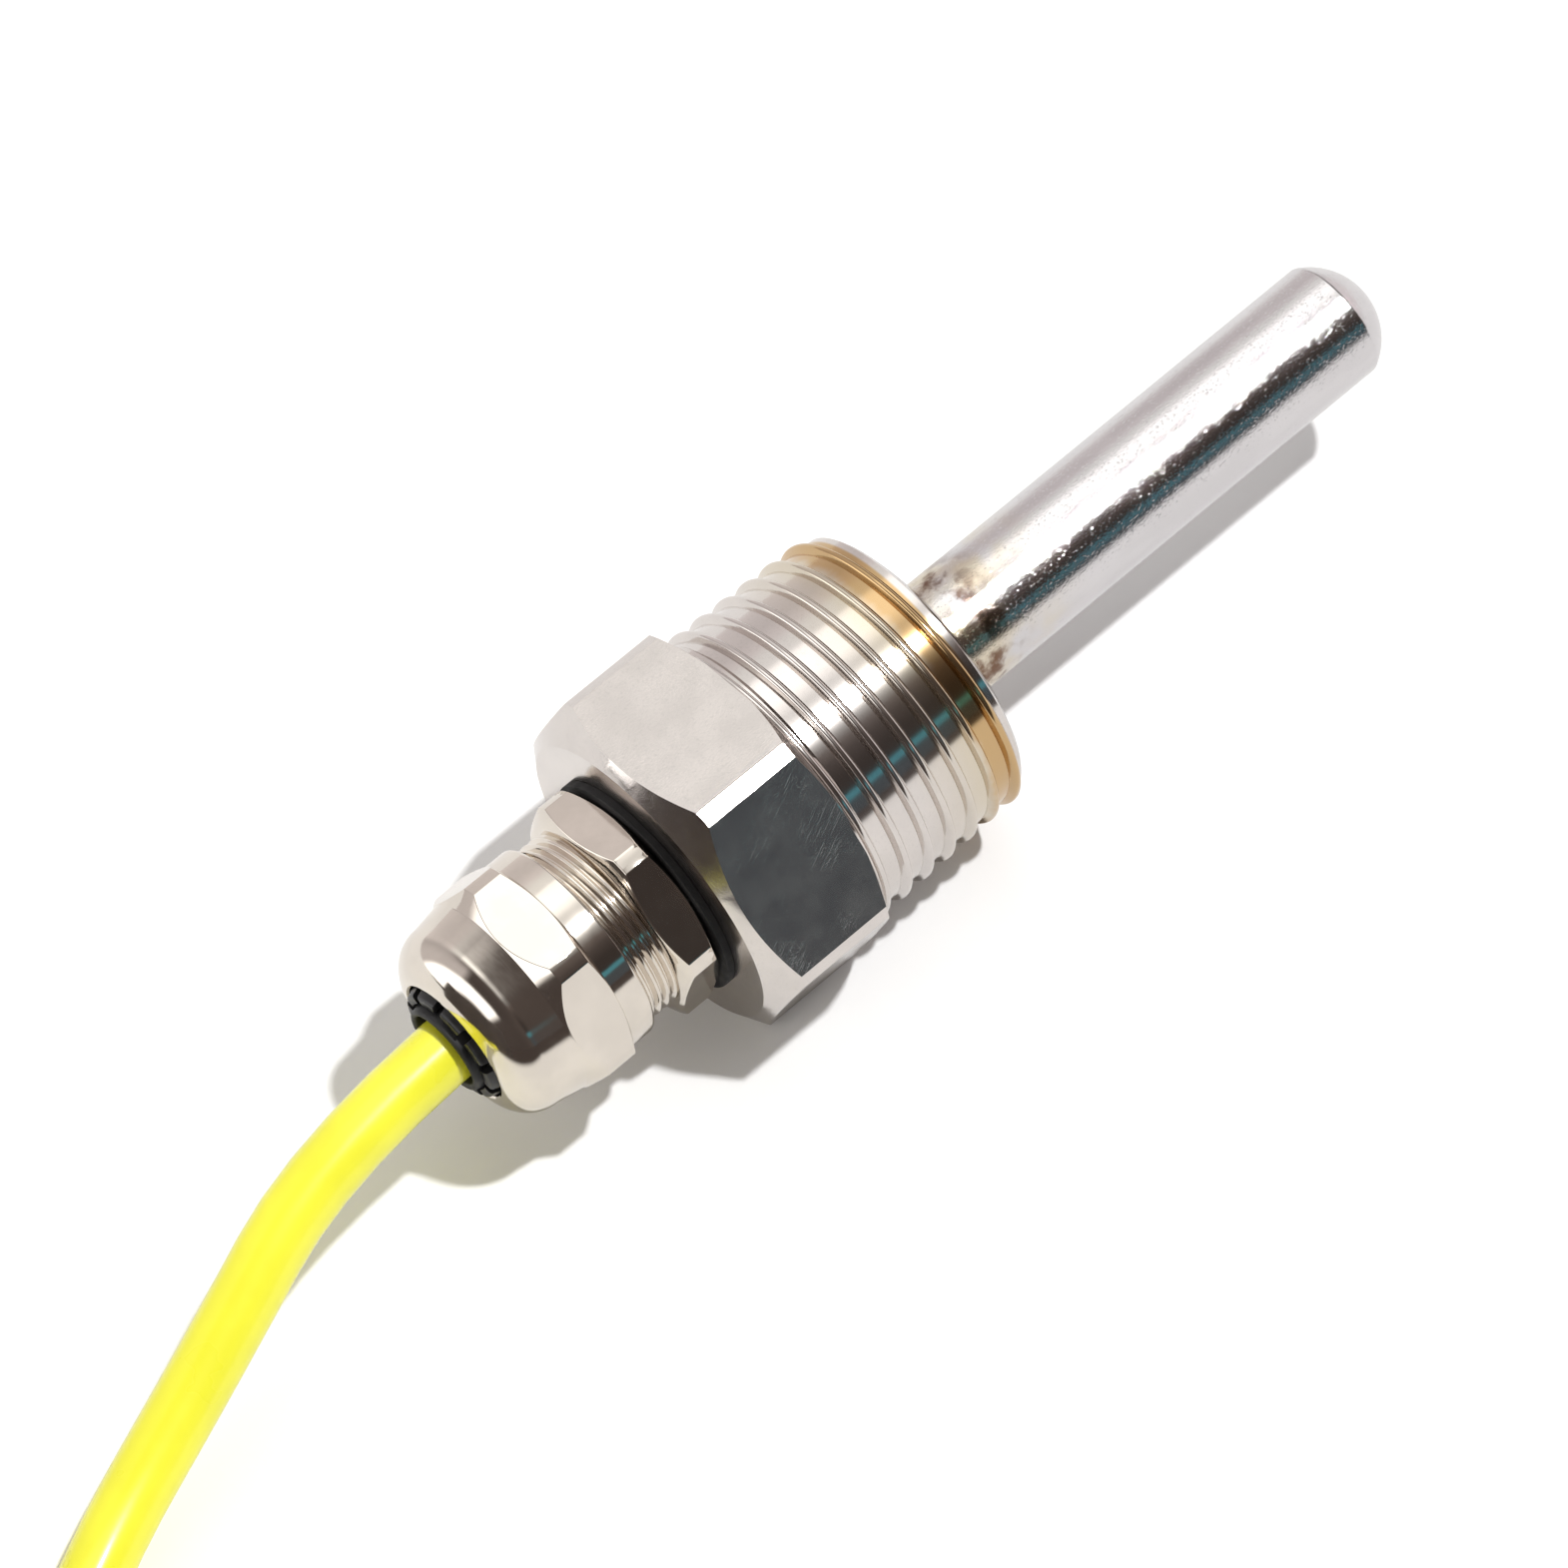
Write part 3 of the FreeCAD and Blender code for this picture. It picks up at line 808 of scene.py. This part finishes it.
class PROBE_OT_sheath(bpy.types.Operator):
    """Model the closed sheath and the rippled weld at its root"""
    bl_idname = "probe.sheath"
    bl_label = "Sheath and Weld"

    def execute(self, context):
        sizes = context.scene.probe_sheath
        fitting = context.scene.probe_fitting
        colours = context.scene.probe_finish
        radius = sizes.diameter / MM / 2
        bore = radius - sizes.wall / MM
        root = radius - 0.2
        end = (fitting.hex_length + fitting.thread_length) / MM
        tip = (fitting.hex_length + sizes.length) / MM
        rise = 2.5
        dome = tip - rise
        ball = (radius ** 2 + rise ** 2) / (2 * rise)
        edge = 0.4
        slope = math.degrees(math.asin((radius - edge) / (ball - edge)))
        corner_x = tip - ball + (ball - edge) * math.cos(math.radians(slope))
        thickness = 1.2
        inner_rise = rise - thickness
        inner_ball = (bore ** 2 + inner_rise ** 2) / (2 * inner_rise)
        inner_slope = math.degrees(math.asin(bore / inner_ball))
        piece = turned(
            bow(tip - thickness - inner_ball, 0, inner_ball, 0, inner_slope, 8)
            + [(10.1, bore), (10.1, root), (end + 0.6, root), (end + 0.6, radius)]
            + [(end + 3 * step, radius) for step in range(2, int((corner_x - end) / 3))]
            + bow(corner_x, radius - edge, edge, 90, slope, 6)
            + bow(tip - ball, 0, ball, slope, 0, 20)[1:], 128)
        shade(piece, 40)
        hand_over(
            piece, "sheath", sheath_finish(colours), "probe", "stainless", "probe_sheath")
        leg = sizes.weld_leg / MM
        bead = ring(
            [(end - 0.1, radius - 0.02), (end - 0.1, radius + leg * 0.8), (end + 0.1, radius + leg)]
            + bow(end + leg, radius + leg, leg, 180, 270, 6)[1:]
            + [(end + leg, radius - 0.02)], 96)
        ripples = 30
        drops = [bead]
        for step in range(ripples):
            place = spot(end + leg * 0.30, radius + leg * 0.30, 360 * step / ripples)
            bpy.ops.mesh.primitive_uv_sphere_add(
                segments=20, ring_count=12, radius=leg * 0.58 * MM, location=place)
            drops.append(bpy.context.active_object)
        for drop in drops:
            drop.select_set(True)
        context.view_layer.objects.active = bead
        bpy.ops.object.join()
        settle(bead)
        modify(bead, "REMESH", mode="VOXEL", voxel_size=0.10 * MM)
        modify(bead, "SMOOTH", factor=0.5, iterations=4)
        combine(bead, turned([
            (end - 1, 0), (end - 1, radius), (end + 3, radius), (end + 3, 0)]), "DIFFERENCE")
        mend(bead)
        shade(bead, 60)
        hand_over(bead, "weld", steel_finish(colours), "probe", "stainless", "weld_bead")
        return {"FINISHED"}


class PROBE_OT_gland(bpy.types.Operator):
    """Model the rubber gasket and the gland's body with its fine thread"""
    bl_idname = "probe.gland"
    bl_label = "Gasket and Gland Body"

    def execute(self, context):
        sizes = context.scene.probe_gland
        colours = context.scene.probe_finish
        flats = sizes.flats / MM
        edge, hole_r = 0.06, 6.0
        rim = flats / 2 + 0.65 - edge
        gasket = ring(
            [(0, hole_r)] + bow(-edge, rim, edge, 0, 90, 4)
            + bow(GLAND_FACE + edge, rim, edge, 90, 180, 4) + [(GLAND_FACE, hole_r)])
        shade(gasket, 50)
        rubber = moulded_finish("gasket_rubber", colours.rubber, 0.8, 0.15, 0.004)
        hand_over(gasket, "gasket", rubber, "probe", "black_rubber", "gland_gasket")
        corner = flats / 2 / COS30 - 0.3
        bevel = flats / 2 - 0.3
        slant = (corner - bevel) * TAN30
        piece = turned([
            (GLAND_TOP, 0), (GLAND_TOP, bevel), (GLAND_TOP + slant, corner),
            (GLAND_FACE - slant, corner), (GLAND_FACE, bevel), (GLAND_FACE, 0),
        ])
        combine(piece, hexagon(-5, 1, flats, sizes.body_turn), "INTERSECT")
        soften(piece, 0.06)
        crest = sizes.thread_d / MM / 2
        pitch = sizes.thread_pitch / MM
        starts = sizes.thread_starts
        thread = threaded(
            GLAND_END - 0.5, GLAND_TOP + 0.3, crest * 2, pitch / starts, GLAND_GROOVE,
            starts=starts, parts=96)
        combine(thread, turned([
            (GLAND_END, 0), (GLAND_END, crest - 0.6), (GLAND_END + 0.6, crest + 0.05),
            (-3.3, crest + 0.05), (-3.3, 0),
        ]), "INTERSECT")
        spigot_r, passage_r, seat_r = 5.95, 2.6, 4.61
        combine(thread, turned([
            (-3.85, 0), (-3.75, crest - 0.75), (-3.0, crest - 0.75), (-3.0, 5.0), (-1.0, 5.0),
            (-1.0, spigot_r), (5.5, spigot_r), (6.0, spigot_r - 0.5), (6.0, 0),
        ]), "UNION")
        combine(piece, thread, "UNION")
        combine(piece, turned([
            (-12, 0), (-12, seat_r), (-8.3, seat_r), (-7.14, passage_r), (7, passage_r), (7, 0),
        ]), "DIFFERENCE")
        mend(piece)
        shade(piece, 30)
        hand_over(piece, "gland", nickel_finish(colours), "probe", "nickel", "gland_body")
        return {"FINISHED"}


class PROBE_OT_insert(bpy.types.Operator):
    """Model the seal and the cage of clamping fingers round the cable"""
    bl_idname = "probe.insert"
    bl_label = "Seal and Finger Cage"

    def execute(self, context):
        sizes = context.scene.probe_gland
        colours = context.scene.probe_finish
        bore, seal_r, cage_bore, root_r, flange_r = 2.17, 3.17, 3.24, 4.54, 5.73
        # The seal's lip and the finger tips stand out of the nut's mouth
        lip, tips = NUT_MOUTH - 0.65, NUT_MOUTH - 0.4
        seal = ring(
            [(-8.4, bore), (-8.4, root_r), (-9.1, root_r), (-9.1, seal_r), (-15.3, seal_r)]
            + bow(lip, 2.82, 0.2, 90, 180, 4) + bow(lip, 2.75, 0.2, 180, 270, 4)
            + [(-12.0, bore)], 96)
        shade(seal, 50)
        rubber = moulded_finish("seal_rubber", colours.rubber, 0.55, 0.15, 0.004)
        hand_over(seal, "seal", rubber, "insert", "black_rubber", "gland_seal")
        cage = ring(
            [(-9.2, cage_bore), (-9.2, root_r), (-10.6, root_r), (-10.6, flange_r)]
            + [(CONE_START, flange_r), (CONE_END, 4.09), (-15.3, 4.05)]
            + bow(tips + 0.25, 3.65, 0.25, 90, 180, 4) + [(tips, cage_bore)], 120)
        for slot in range(sizes.fingers // 2):
            blade = block(
                (5 * MM, 0.7 * MM, 16 * MM), spot(-13.6), math.pi * slot * 2 / sizes.fingers)
            combine(cage, blade, "DIFFERENCE")
        soften(cage, 0.06, 35)
        mend(cage)
        shade(cage, 40)
        plastic = moulded_finish("cage_plastic", colours.plastic, 0.38, 0.12, 0.003)
        hand_over(cage, "finger_cage", plastic, "insert", "black_plastic", "clamp_cage")
        return {"FINISHED"}


class PROBE_OT_nut(bpy.types.Operator):
    """Model the domed hexagon nut"""
    bl_idname = "probe.nut"
    bl_label = "Dome Nut"

    def execute(self, context):
        sizes = context.scene.probe_gland
        flats = sizes.flats / MM
        mouth = NUT_MOUTH
        start = GLAND_TOP - 2.1
        hex_start = -7.5
        nut_r = flats / 2
        skirt = nut_r - 0.1
        corner = nut_r / COS30 - 0.3
        dome = mouth + 4.35
        crown = nut_r - 0.35
        round_r = 2.6
        piece = turned(
            [(hex_start, 0), (hex_start, skirt), (hex_start - (corner - skirt) * TAN30, corner)]
            + [(dome + 1.05, corner), (dome, nut_r - 0.05), (mouth + round_r, crown)]
            + bow(mouth + round_r, crown - round_r, round_r, 90, 180, 16)[1:]
            + [(mouth, 0)])
        combine(piece, hexagon(mouth - 1, hex_start + 1, flats, sizes.nut_turn), "INTERSECT")
        soften(piece, 0.12, 16)
        combine(piece, turned(
            [(hex_start - 0.8, 0), (hex_start - 0.8, skirt)]
            + bow(start - 0.3, skirt - 0.3, 0.3, 90, 0, 5) + [(start, 0)]), "UNION")
        bore = sizes.thread_d / MM / 2 + 0.07
        cone_r, mouth_r, flare_r = 5.85, 4.16, 4.33
        combine(piece, turned([
            (start + 1, 0), (start + 1, bore + 0.3), (start, bore + 0.3), (start - 0.3, bore),
            (-11.0, bore), (-11.0, cone_r), (CONE_START, cone_r), (CONE_END, mouth_r),
            (mouth + 0.12, mouth_r), (mouth - 0.05, flare_r), (mouth - 1, flare_r), (mouth - 1, 0),
        ]), "DIFFERENCE")
        mend(piece)
        shade(piece, 24)
        hand_over(
            piece, "dome_nut_shell", nickel_finish(context.scene.probe_finish), "nut", "nickel",
            "dome_nut")
        return {"FINISHED"}


class PROBE_OT_lead(bpy.types.Operator):
    """Lay the cable in its hank and add the tie and the end sleeve"""
    bl_idname = "probe.lead"
    bl_label = "Cable, Tie and Sleeve"

    def execute(self, context):
        sizes = context.scene.probe_lead
        colours = context.scene.probe_finish
        cable = sizes.cable_d / MM
        inner = sizes.fold_r / MM
        sleeve_r = cable / 2 + 0.3
        route = [Vector(point) * MM for point in LEAD_START]
        route += hank_route(cable, inner, HANK_TOP + sleeve_r)
        lead = cord_curve("cable", route, sizes.cable_d)
        jacket = jacket_finish("yellow_jacket", colours.jacket, 0.3)
        hand_over(
            lead, "cable", jacket, "probe", "yellow_jacket", "cable_run", "cable_coil", "cable_end")

        width = END_R - inner + cable / 2
        middle = inner + (cable + TURN_GAP) / 2
        tie_x = (NEAR_X + FAR_X) / 2 * MM
        tie = block(
            (sizes.tie_width, width * MM, HANK_TOP * MM),
            (tie_x, (HANK_Y + middle) * MM, (TIE_LIFT + HANK_TOP / 2) * MM))
        edit(tie)
        bpy.ops.mesh.select_mode(type="FACE")
        bpy.ops.mesh.select_all(action="DESELECT")
        leave()
        for face in tie.data.polygons:
            face.select = abs(face.normal.x) > 0.9
        bpy.ops.object.mode_set(mode="EDIT")
        bpy.ops.mesh.delete(type="ONLY_FACE")
        bpy.ops.mesh.select_mode(type="EDGE")
        bpy.ops.mesh.select_all(action="DESELECT")
        leave()
        for edge in tie.data.edges:
            ends = [tie.data.vertices[index].co.x for index in edge.vertices]
            edge.select = abs(ends[0] - ends[1]) > sizes.tie_width / 2
        bpy.ops.object.mode_set(mode="EDIT")
        bpy.ops.mesh.bevel(offset=cable * 0.5 * MM, segments=6, affect="EDGES")
        bpy.ops.mesh.select_all(action="SELECT")
        bpy.ops.mesh.normals_make_consistent(inside=False)
        leave()
        modify(tie, "SOLIDIFY", thickness=0.7 * MM, offset=1.0)
        lock = block(
            (sizes.tie_width + 1.2 * MM, 3.4 * MM, 4.4 * MM),
            (tie_x, (HANK_Y + middle - width / 2 - 1.9) * MM, (HANK_TOP * 0.4 + 2.2) * MM))
        combine(tie, lock, "UNION")
        soften(tie, 0.12, 40)
        mend(tie)
        shade(tie, 40)
        plastic = moulded_finish("tie_plastic", colours.plastic, 0.42, 0.2, 0.004)
        hand_over(tie, "tie", plastic, "probe", "black_sleeve", "coil_tie")

        over = sleeve_r - 0.28
        sleeve = turned(
            [(12.1, 0), (12.1, over), (0, over), (0, sleeve_r - 0.1), (0.1, sleeve_r)]
            + [(11.6, sleeve_r), (13, sleeve_r - 0.14), (14.4, sleeve_r - 0.42)]
            + [(15.6, sleeve_r - 0.53), (19.85, sleeve_r - 0.55), (20, sleeve_r - 0.7), (20, 0)], 64)
        lay(sleeve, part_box("end_sleeve")[1] - Vector((0, sleeve_r, sleeve_r)) * MM, Vector((-1, 0, 0)))
        close_seams(sleeve)
        shade(sleeve, 40)
        shrunk = moulded_finish("shrink_sleeve", colours.plastic, 0.5, 0.3, 0.006)
        hand_over(sleeve, "sleeve", shrunk, "probe", "black_sleeve", "end_sleeve")
        return {"FINISHED"}


class PROBE_OT_tails(bpy.types.Operator):
    """Add the two insulated cores at the end of the cable and their ferrules"""
    bl_idname = "probe.tails"
    bl_label = "Tails and Ferrules"

    def execute(self, context):
        sizes = context.scene.probe_lead
        colours = context.scene.probe_finish
        tail = sizes.tail_d / MM
        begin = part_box("end_sleeve")[0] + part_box("end_sleeve")[1]
        begin = Vector((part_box("end_sleeve")[0].x, begin.y / 2, begin.z / 2)) / MM
        rest = HANK_TOP + tail / 2 + 0.25
        jackets = {
            "positive": jacket_finish("yellow_core", colours.jacket, 0.35),
            "negative": jacket_finish("red_core", colours.red_core, 0.35),
        }
        tin = wire_finish("tinned_copper", (0.72, 0.72, 0.70), 0.28)
        for sign, side in (("positive", -1), ("negative", 1)):
            shift = side * (tail / 2 + 0.05)
            fan = side * 1.4
            points = [
                begin + Vector((0, shift, 0)),
                begin + Vector((-11, shift + fan * 0.3, -1.2)),
                begin + Vector((-23, shift + fan, rest - begin.z)),
                begin + Vector((-36, shift + fan * 1.6, rest - begin.z)),
            ]
            points = [point * MM for point in points]
            core = cord_curve("tail_core_" + sign, points, sizes.tail_d)
            slot = "yellow_core" if sign == "positive" else "red_core"
            hand_over(core, core.name, jackets[sign], "probe", slot, "tail_" + sign)
            socket, bore, full, waist = 2.5, 0.75, 0.95, 0.82
            profile = [(socket, 0), (socket, bore), (0, bore), (0, 0.93), (0.25, full), (2.4, full)]
            for crimp in range(4):
                x = 2.9 + crimp * 1.2
                profile += [(x, full), (x + 0.2, waist), (x + 0.6, waist), (x + 0.8, full)]
            profile += [(8.7, full), (9.0, 0.8), (9.0, 0)]
            ferrule = turned(profile, 48)
            heading = (points[-1] - points[-2]).normalized()
            lay(ferrule, points[-1] - heading * socket * MM, heading)
            close_seams(ferrule)
            shade(ferrule, 35)
            hand_over(ferrule, "crimped_ferrule_" + sign, tin, "probe", "tinned", "ferrule_" + sign)
        return {"FINISHED"}


class PROBE_OT_element(bpy.types.Operator):
    """Give the sealed-in CAD pieces their finishes"""
    bl_idname = "probe.element"
    bl_label = "Measuring Element"

    def execute(self, context):
        colours = context.scene.probe_finish
        alloy = wire_finish("element_alloy", (0.55, 0.53, 0.48), 0.35)
        tin = wire_finish("crimp_tin", (0.72, 0.72, 0.70), 0.3)
        ceramic = moulded_finish("ceramic", (0.80, 0.76, 0.68), 0.7, 0.2, 0.006)
        resin = moulded_finish("sealing_resin", (0.06, 0.055, 0.05), 0.35, 0.4, 0.006)
        yellow = jacket_finish("inner_jacket", colours.jacket, 0.35)
        red = jacket_finish("inner_red_core", colours.red_core, 0.35)
        for material, names in (
            (alloy, ("hot_junction", "wire_positive", "wire_negative")),
            (tin, ("crimp_positive", "crimp_negative")),
            (ceramic, ("insulator", "tip_packing")),
            (resin, ("sealing_compound",)),
            (yellow, ("lead_positive", "cable_entry")),
            (red, ("lead_negative",)),
        ):
            for name in names:
                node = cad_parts[name]
                node.data.materials.clear()
                node.data.materials.append(material)
        return {"FINISHED"}


class PROBE_OT_stage(bpy.types.Operator):
    """Set up the floor, the lamps, the surroundings and the camera"""
    bl_idname = "probe.stage"
    bl_label = "Stage"

    def execute(self, context):
        stage = context.scene.probe_stage
        bpy.ops.mesh.primitive_plane_add(size=12)
        floor = context.active_object
        floor.name = "floor"
        material, shader, place = finish_tree("pale_floor")
        tree = material.node_tree
        speck = noise(place, 40, 2.0)
        pale = stage.floor
        white = blend(speck, tone(pale, 0.998), tone(pale, 1.002))
        # In reflections the floor is a sheet of paper in a dark room
        across = axis(place, 1)
        slanted = sums(axis(place, 0), across)
        paper = times(ramp(slanted, -0.11, -0.08), ramp(across, -0.20, -0.11))
        mirrored = ray(tree, "Glossy")
        white = blend(mirrored, white, tone(pale, 0.84))
        off_paper = times(mirrored, sums(1.0, paper, "SUBTRACT"))
        tree.links.new(blend(off_paper, white, stage.room), shader.inputs["Base Color"])
        seen = ray(tree, "Camera")
        tree.links.new(times(seen, stage.floor_lift), shader.inputs["Emission Strength"])
        shader.inputs["Emission Color"].default_value = (1, 1, 1, 1)
        shader.inputs["Roughness"].default_value = 0.9
        shader.inputs["Specular IOR Level"].default_value = 0.0
        floor.data.materials.append(material)

        # A card that only reflections show hides the hank from the fitting
        gap, margin = 6 * MM, 14 * MM
        bpy.ops.mesh.primitive_plane_add(size=1)
        card = context.active_object
        card.name = "dark_card"
        card.rotation_euler = (0, math.pi / 2, 0)
        height = COIL_HIGH.z + margin
        card.scale = (height, COIL_HIGH.y - COIL_LOW.y + 2 * margin, 1)
        card.location = (COIL_HIGH.x + gap, HANK_Y * MM, height / 2)
        settle(card)
        card.visible_camera = False
        card.visible_diffuse = False
        card.visible_shadow = False
        card.data.materials.append(moulded_finish("black_card", stage.room, 1.0, 2.0, 0.01))

        key = bpy.data.lights.new("key_lamp", "SUN")
        key.energy = stage.sun
        key.angle = math.radians(2.5)
        lamp = bpy.data.objects.new("key_lamp", key)
        lamp.rotation_euler = Vector(LAMP_FROM).to_track_quat("Z", "Y").to_euler()
        context.collection.objects.link(lamp)

        world = bpy.data.worlds.new("surroundings")
        context.scene.world = world
        world.use_nodes = True
        tree = world.node_tree
        tree.nodes.clear()
        way = tree.nodes.new("ShaderNodeTexCoord").outputs["Generated"]
        along = axis(way, 0)
        away = axis(way, 1)
        lean = sums(times(away, -1.0), axis(way, 2), "ARCTAN2")
        over = put("MapRange", {"Value": lean, "From Min": -math.pi / 2, "From Max": math.pi / 2})
        # Reflections show an arch across the axis, plainer sides along it and two bright strips
        tones = {name: getattr(stage, name) for name in ("wall", "room", "skirting", "slate")}
        tones["softbox"] = tone((1.0, 0.985, 0.965), stage.softbox)
        arch = bands(
            over, [(angle / 180 + 0.5, tone(tones[name], share)) for angle, name, share in SKY])
        ahead = blend(ramp(over, 0.22, 0.36), tone(tones["wall"], 0.65), tone(tones["room"], 1.6))
        ahead = blend(ramp(along, 0.72, 0.88), ahead, tone(tones["wall"], 1.25))
        behind = blend(ramp(away, 0.12, 0.35), tone(tones["room"], 1.2), tone(tones["wall"], 0.9))
        sides = blend(ramp(along, -0.35, 0.1), behind, ahead)
        strip = times(ramp(along, -0.10, 0.08), ramp(along, 0.42, 0.58, 1.0, 0.0))
        lower_strip = times(ramp(along, -0.92, -0.82), ramp(along, -0.62, -0.50, 1.0, 0.0))
        glow = blend(ramp(over, 0.70, 0.77), tone(tones["softbox"], 1.2), tone(tones["room"], 1.2))
        shown = blend(lower_strip, blend(strip, sides, arch), glow)
        mirrored = ray(tree, "Glossy")
        strength = ramp(mirrored, 0.0, 1.0, stage.fill, 1.0)
        sky = put("Background", {"Color": shown, "Strength": strength})
        output = tree.nodes.new("ShaderNodeOutputWorld")
        tree.links.new(sky, output.inputs["Surface"])

        camera = bpy.data.cameras.new("camera")
        camera.lens = stage.lens
        camera.sensor_width = 36
        camera.clip_start = 0.05
        camera.clip_end = 50
        eye = bpy.data.objects.new("camera", camera)
        right = Vector(CAMERA_RIGHT).normalized()
        back = Vector(CAMERA_BACK)
        back = (back - right * back.dot(right)).normalized()
        turn = Matrix((right, back.cross(right), back)).transposed()
        eye.matrix_world = Matrix.Translation(Vector(CAMERA_PLACE) * MM) @ turn.to_4x4()
        context.collection.objects.link(eye)
        context.scene.camera = eye
        context.scene.view_settings.view_transform = "Standard"
        return {"FINISHED"}


class PROBE_PT_panel(bpy.types.Panel):
    """Sizes, colours and steps of the probe"""
    bl_idname = "PROBE_PT_panel"
    bl_label = "Thermocouple Probe"
    bl_space_type = "VIEW_3D"
    bl_region_type = "UI"
    bl_category = "Probe"

    def draw(self, context):
        for group in GROUPS:
            settings = getattr(context.scene, group)
            box = self.layout.box()
            for name in settings.__annotations__:
                box.prop(settings, name)
        for step in STEPS:
            self.layout.operator(step.bl_idname)


GROUPS = {
    "probe_fitting": FittingSizes,
    "probe_sheath": SheathSizes,
    "probe_gland": GlandSizes,
    "probe_lead": LeadSizes,
    "probe_finish": FinishColours,
    "probe_stage": StageSettings,
}
STEPS = (
    PROBE_OT_stage,
    PROBE_OT_lead,
    PROBE_OT_tails,
    PROBE_OT_fitting,
    PROBE_OT_sheath,
    PROBE_OT_gland,
    PROBE_OT_insert,
    PROBE_OT_nut,
    PROBE_OT_element,
)


def register():
    """Make the settings, the operators and the panel known."""
    for name, group in GROUPS.items():
        bpy.utils.register_class(group)
        setattr(bpy.types.Scene, name, bpy.props.PointerProperty(type=group))
    for step in STEPS:
        bpy.utils.register_class(step)
    bpy.utils.register_class(PROBE_PT_panel)


def unregister():
    """Take them back."""
    bpy.utils.unregister_class(PROBE_PT_panel)
    for step in reversed(STEPS):
        bpy.utils.unregister_class(step)
    for name, group in reversed(GROUPS.items()):
        delattr(bpy.types.Scene, name)
        bpy.utils.unregister_class(group)


def main():
    """Build the whole probe."""
    register()
    bpy.ops.probe.stage()
    bpy.ops.probe.lead()
    bpy.ops.probe.tails()
    bpy.ops.probe.fitting()
    bpy.ops.probe.sheath()
    bpy.ops.probe.gland()
    bpy.ops.probe.insert()
    bpy.ops.probe.nut()
    bpy.ops.probe.element()


if __name__ == "__main__":
    main()
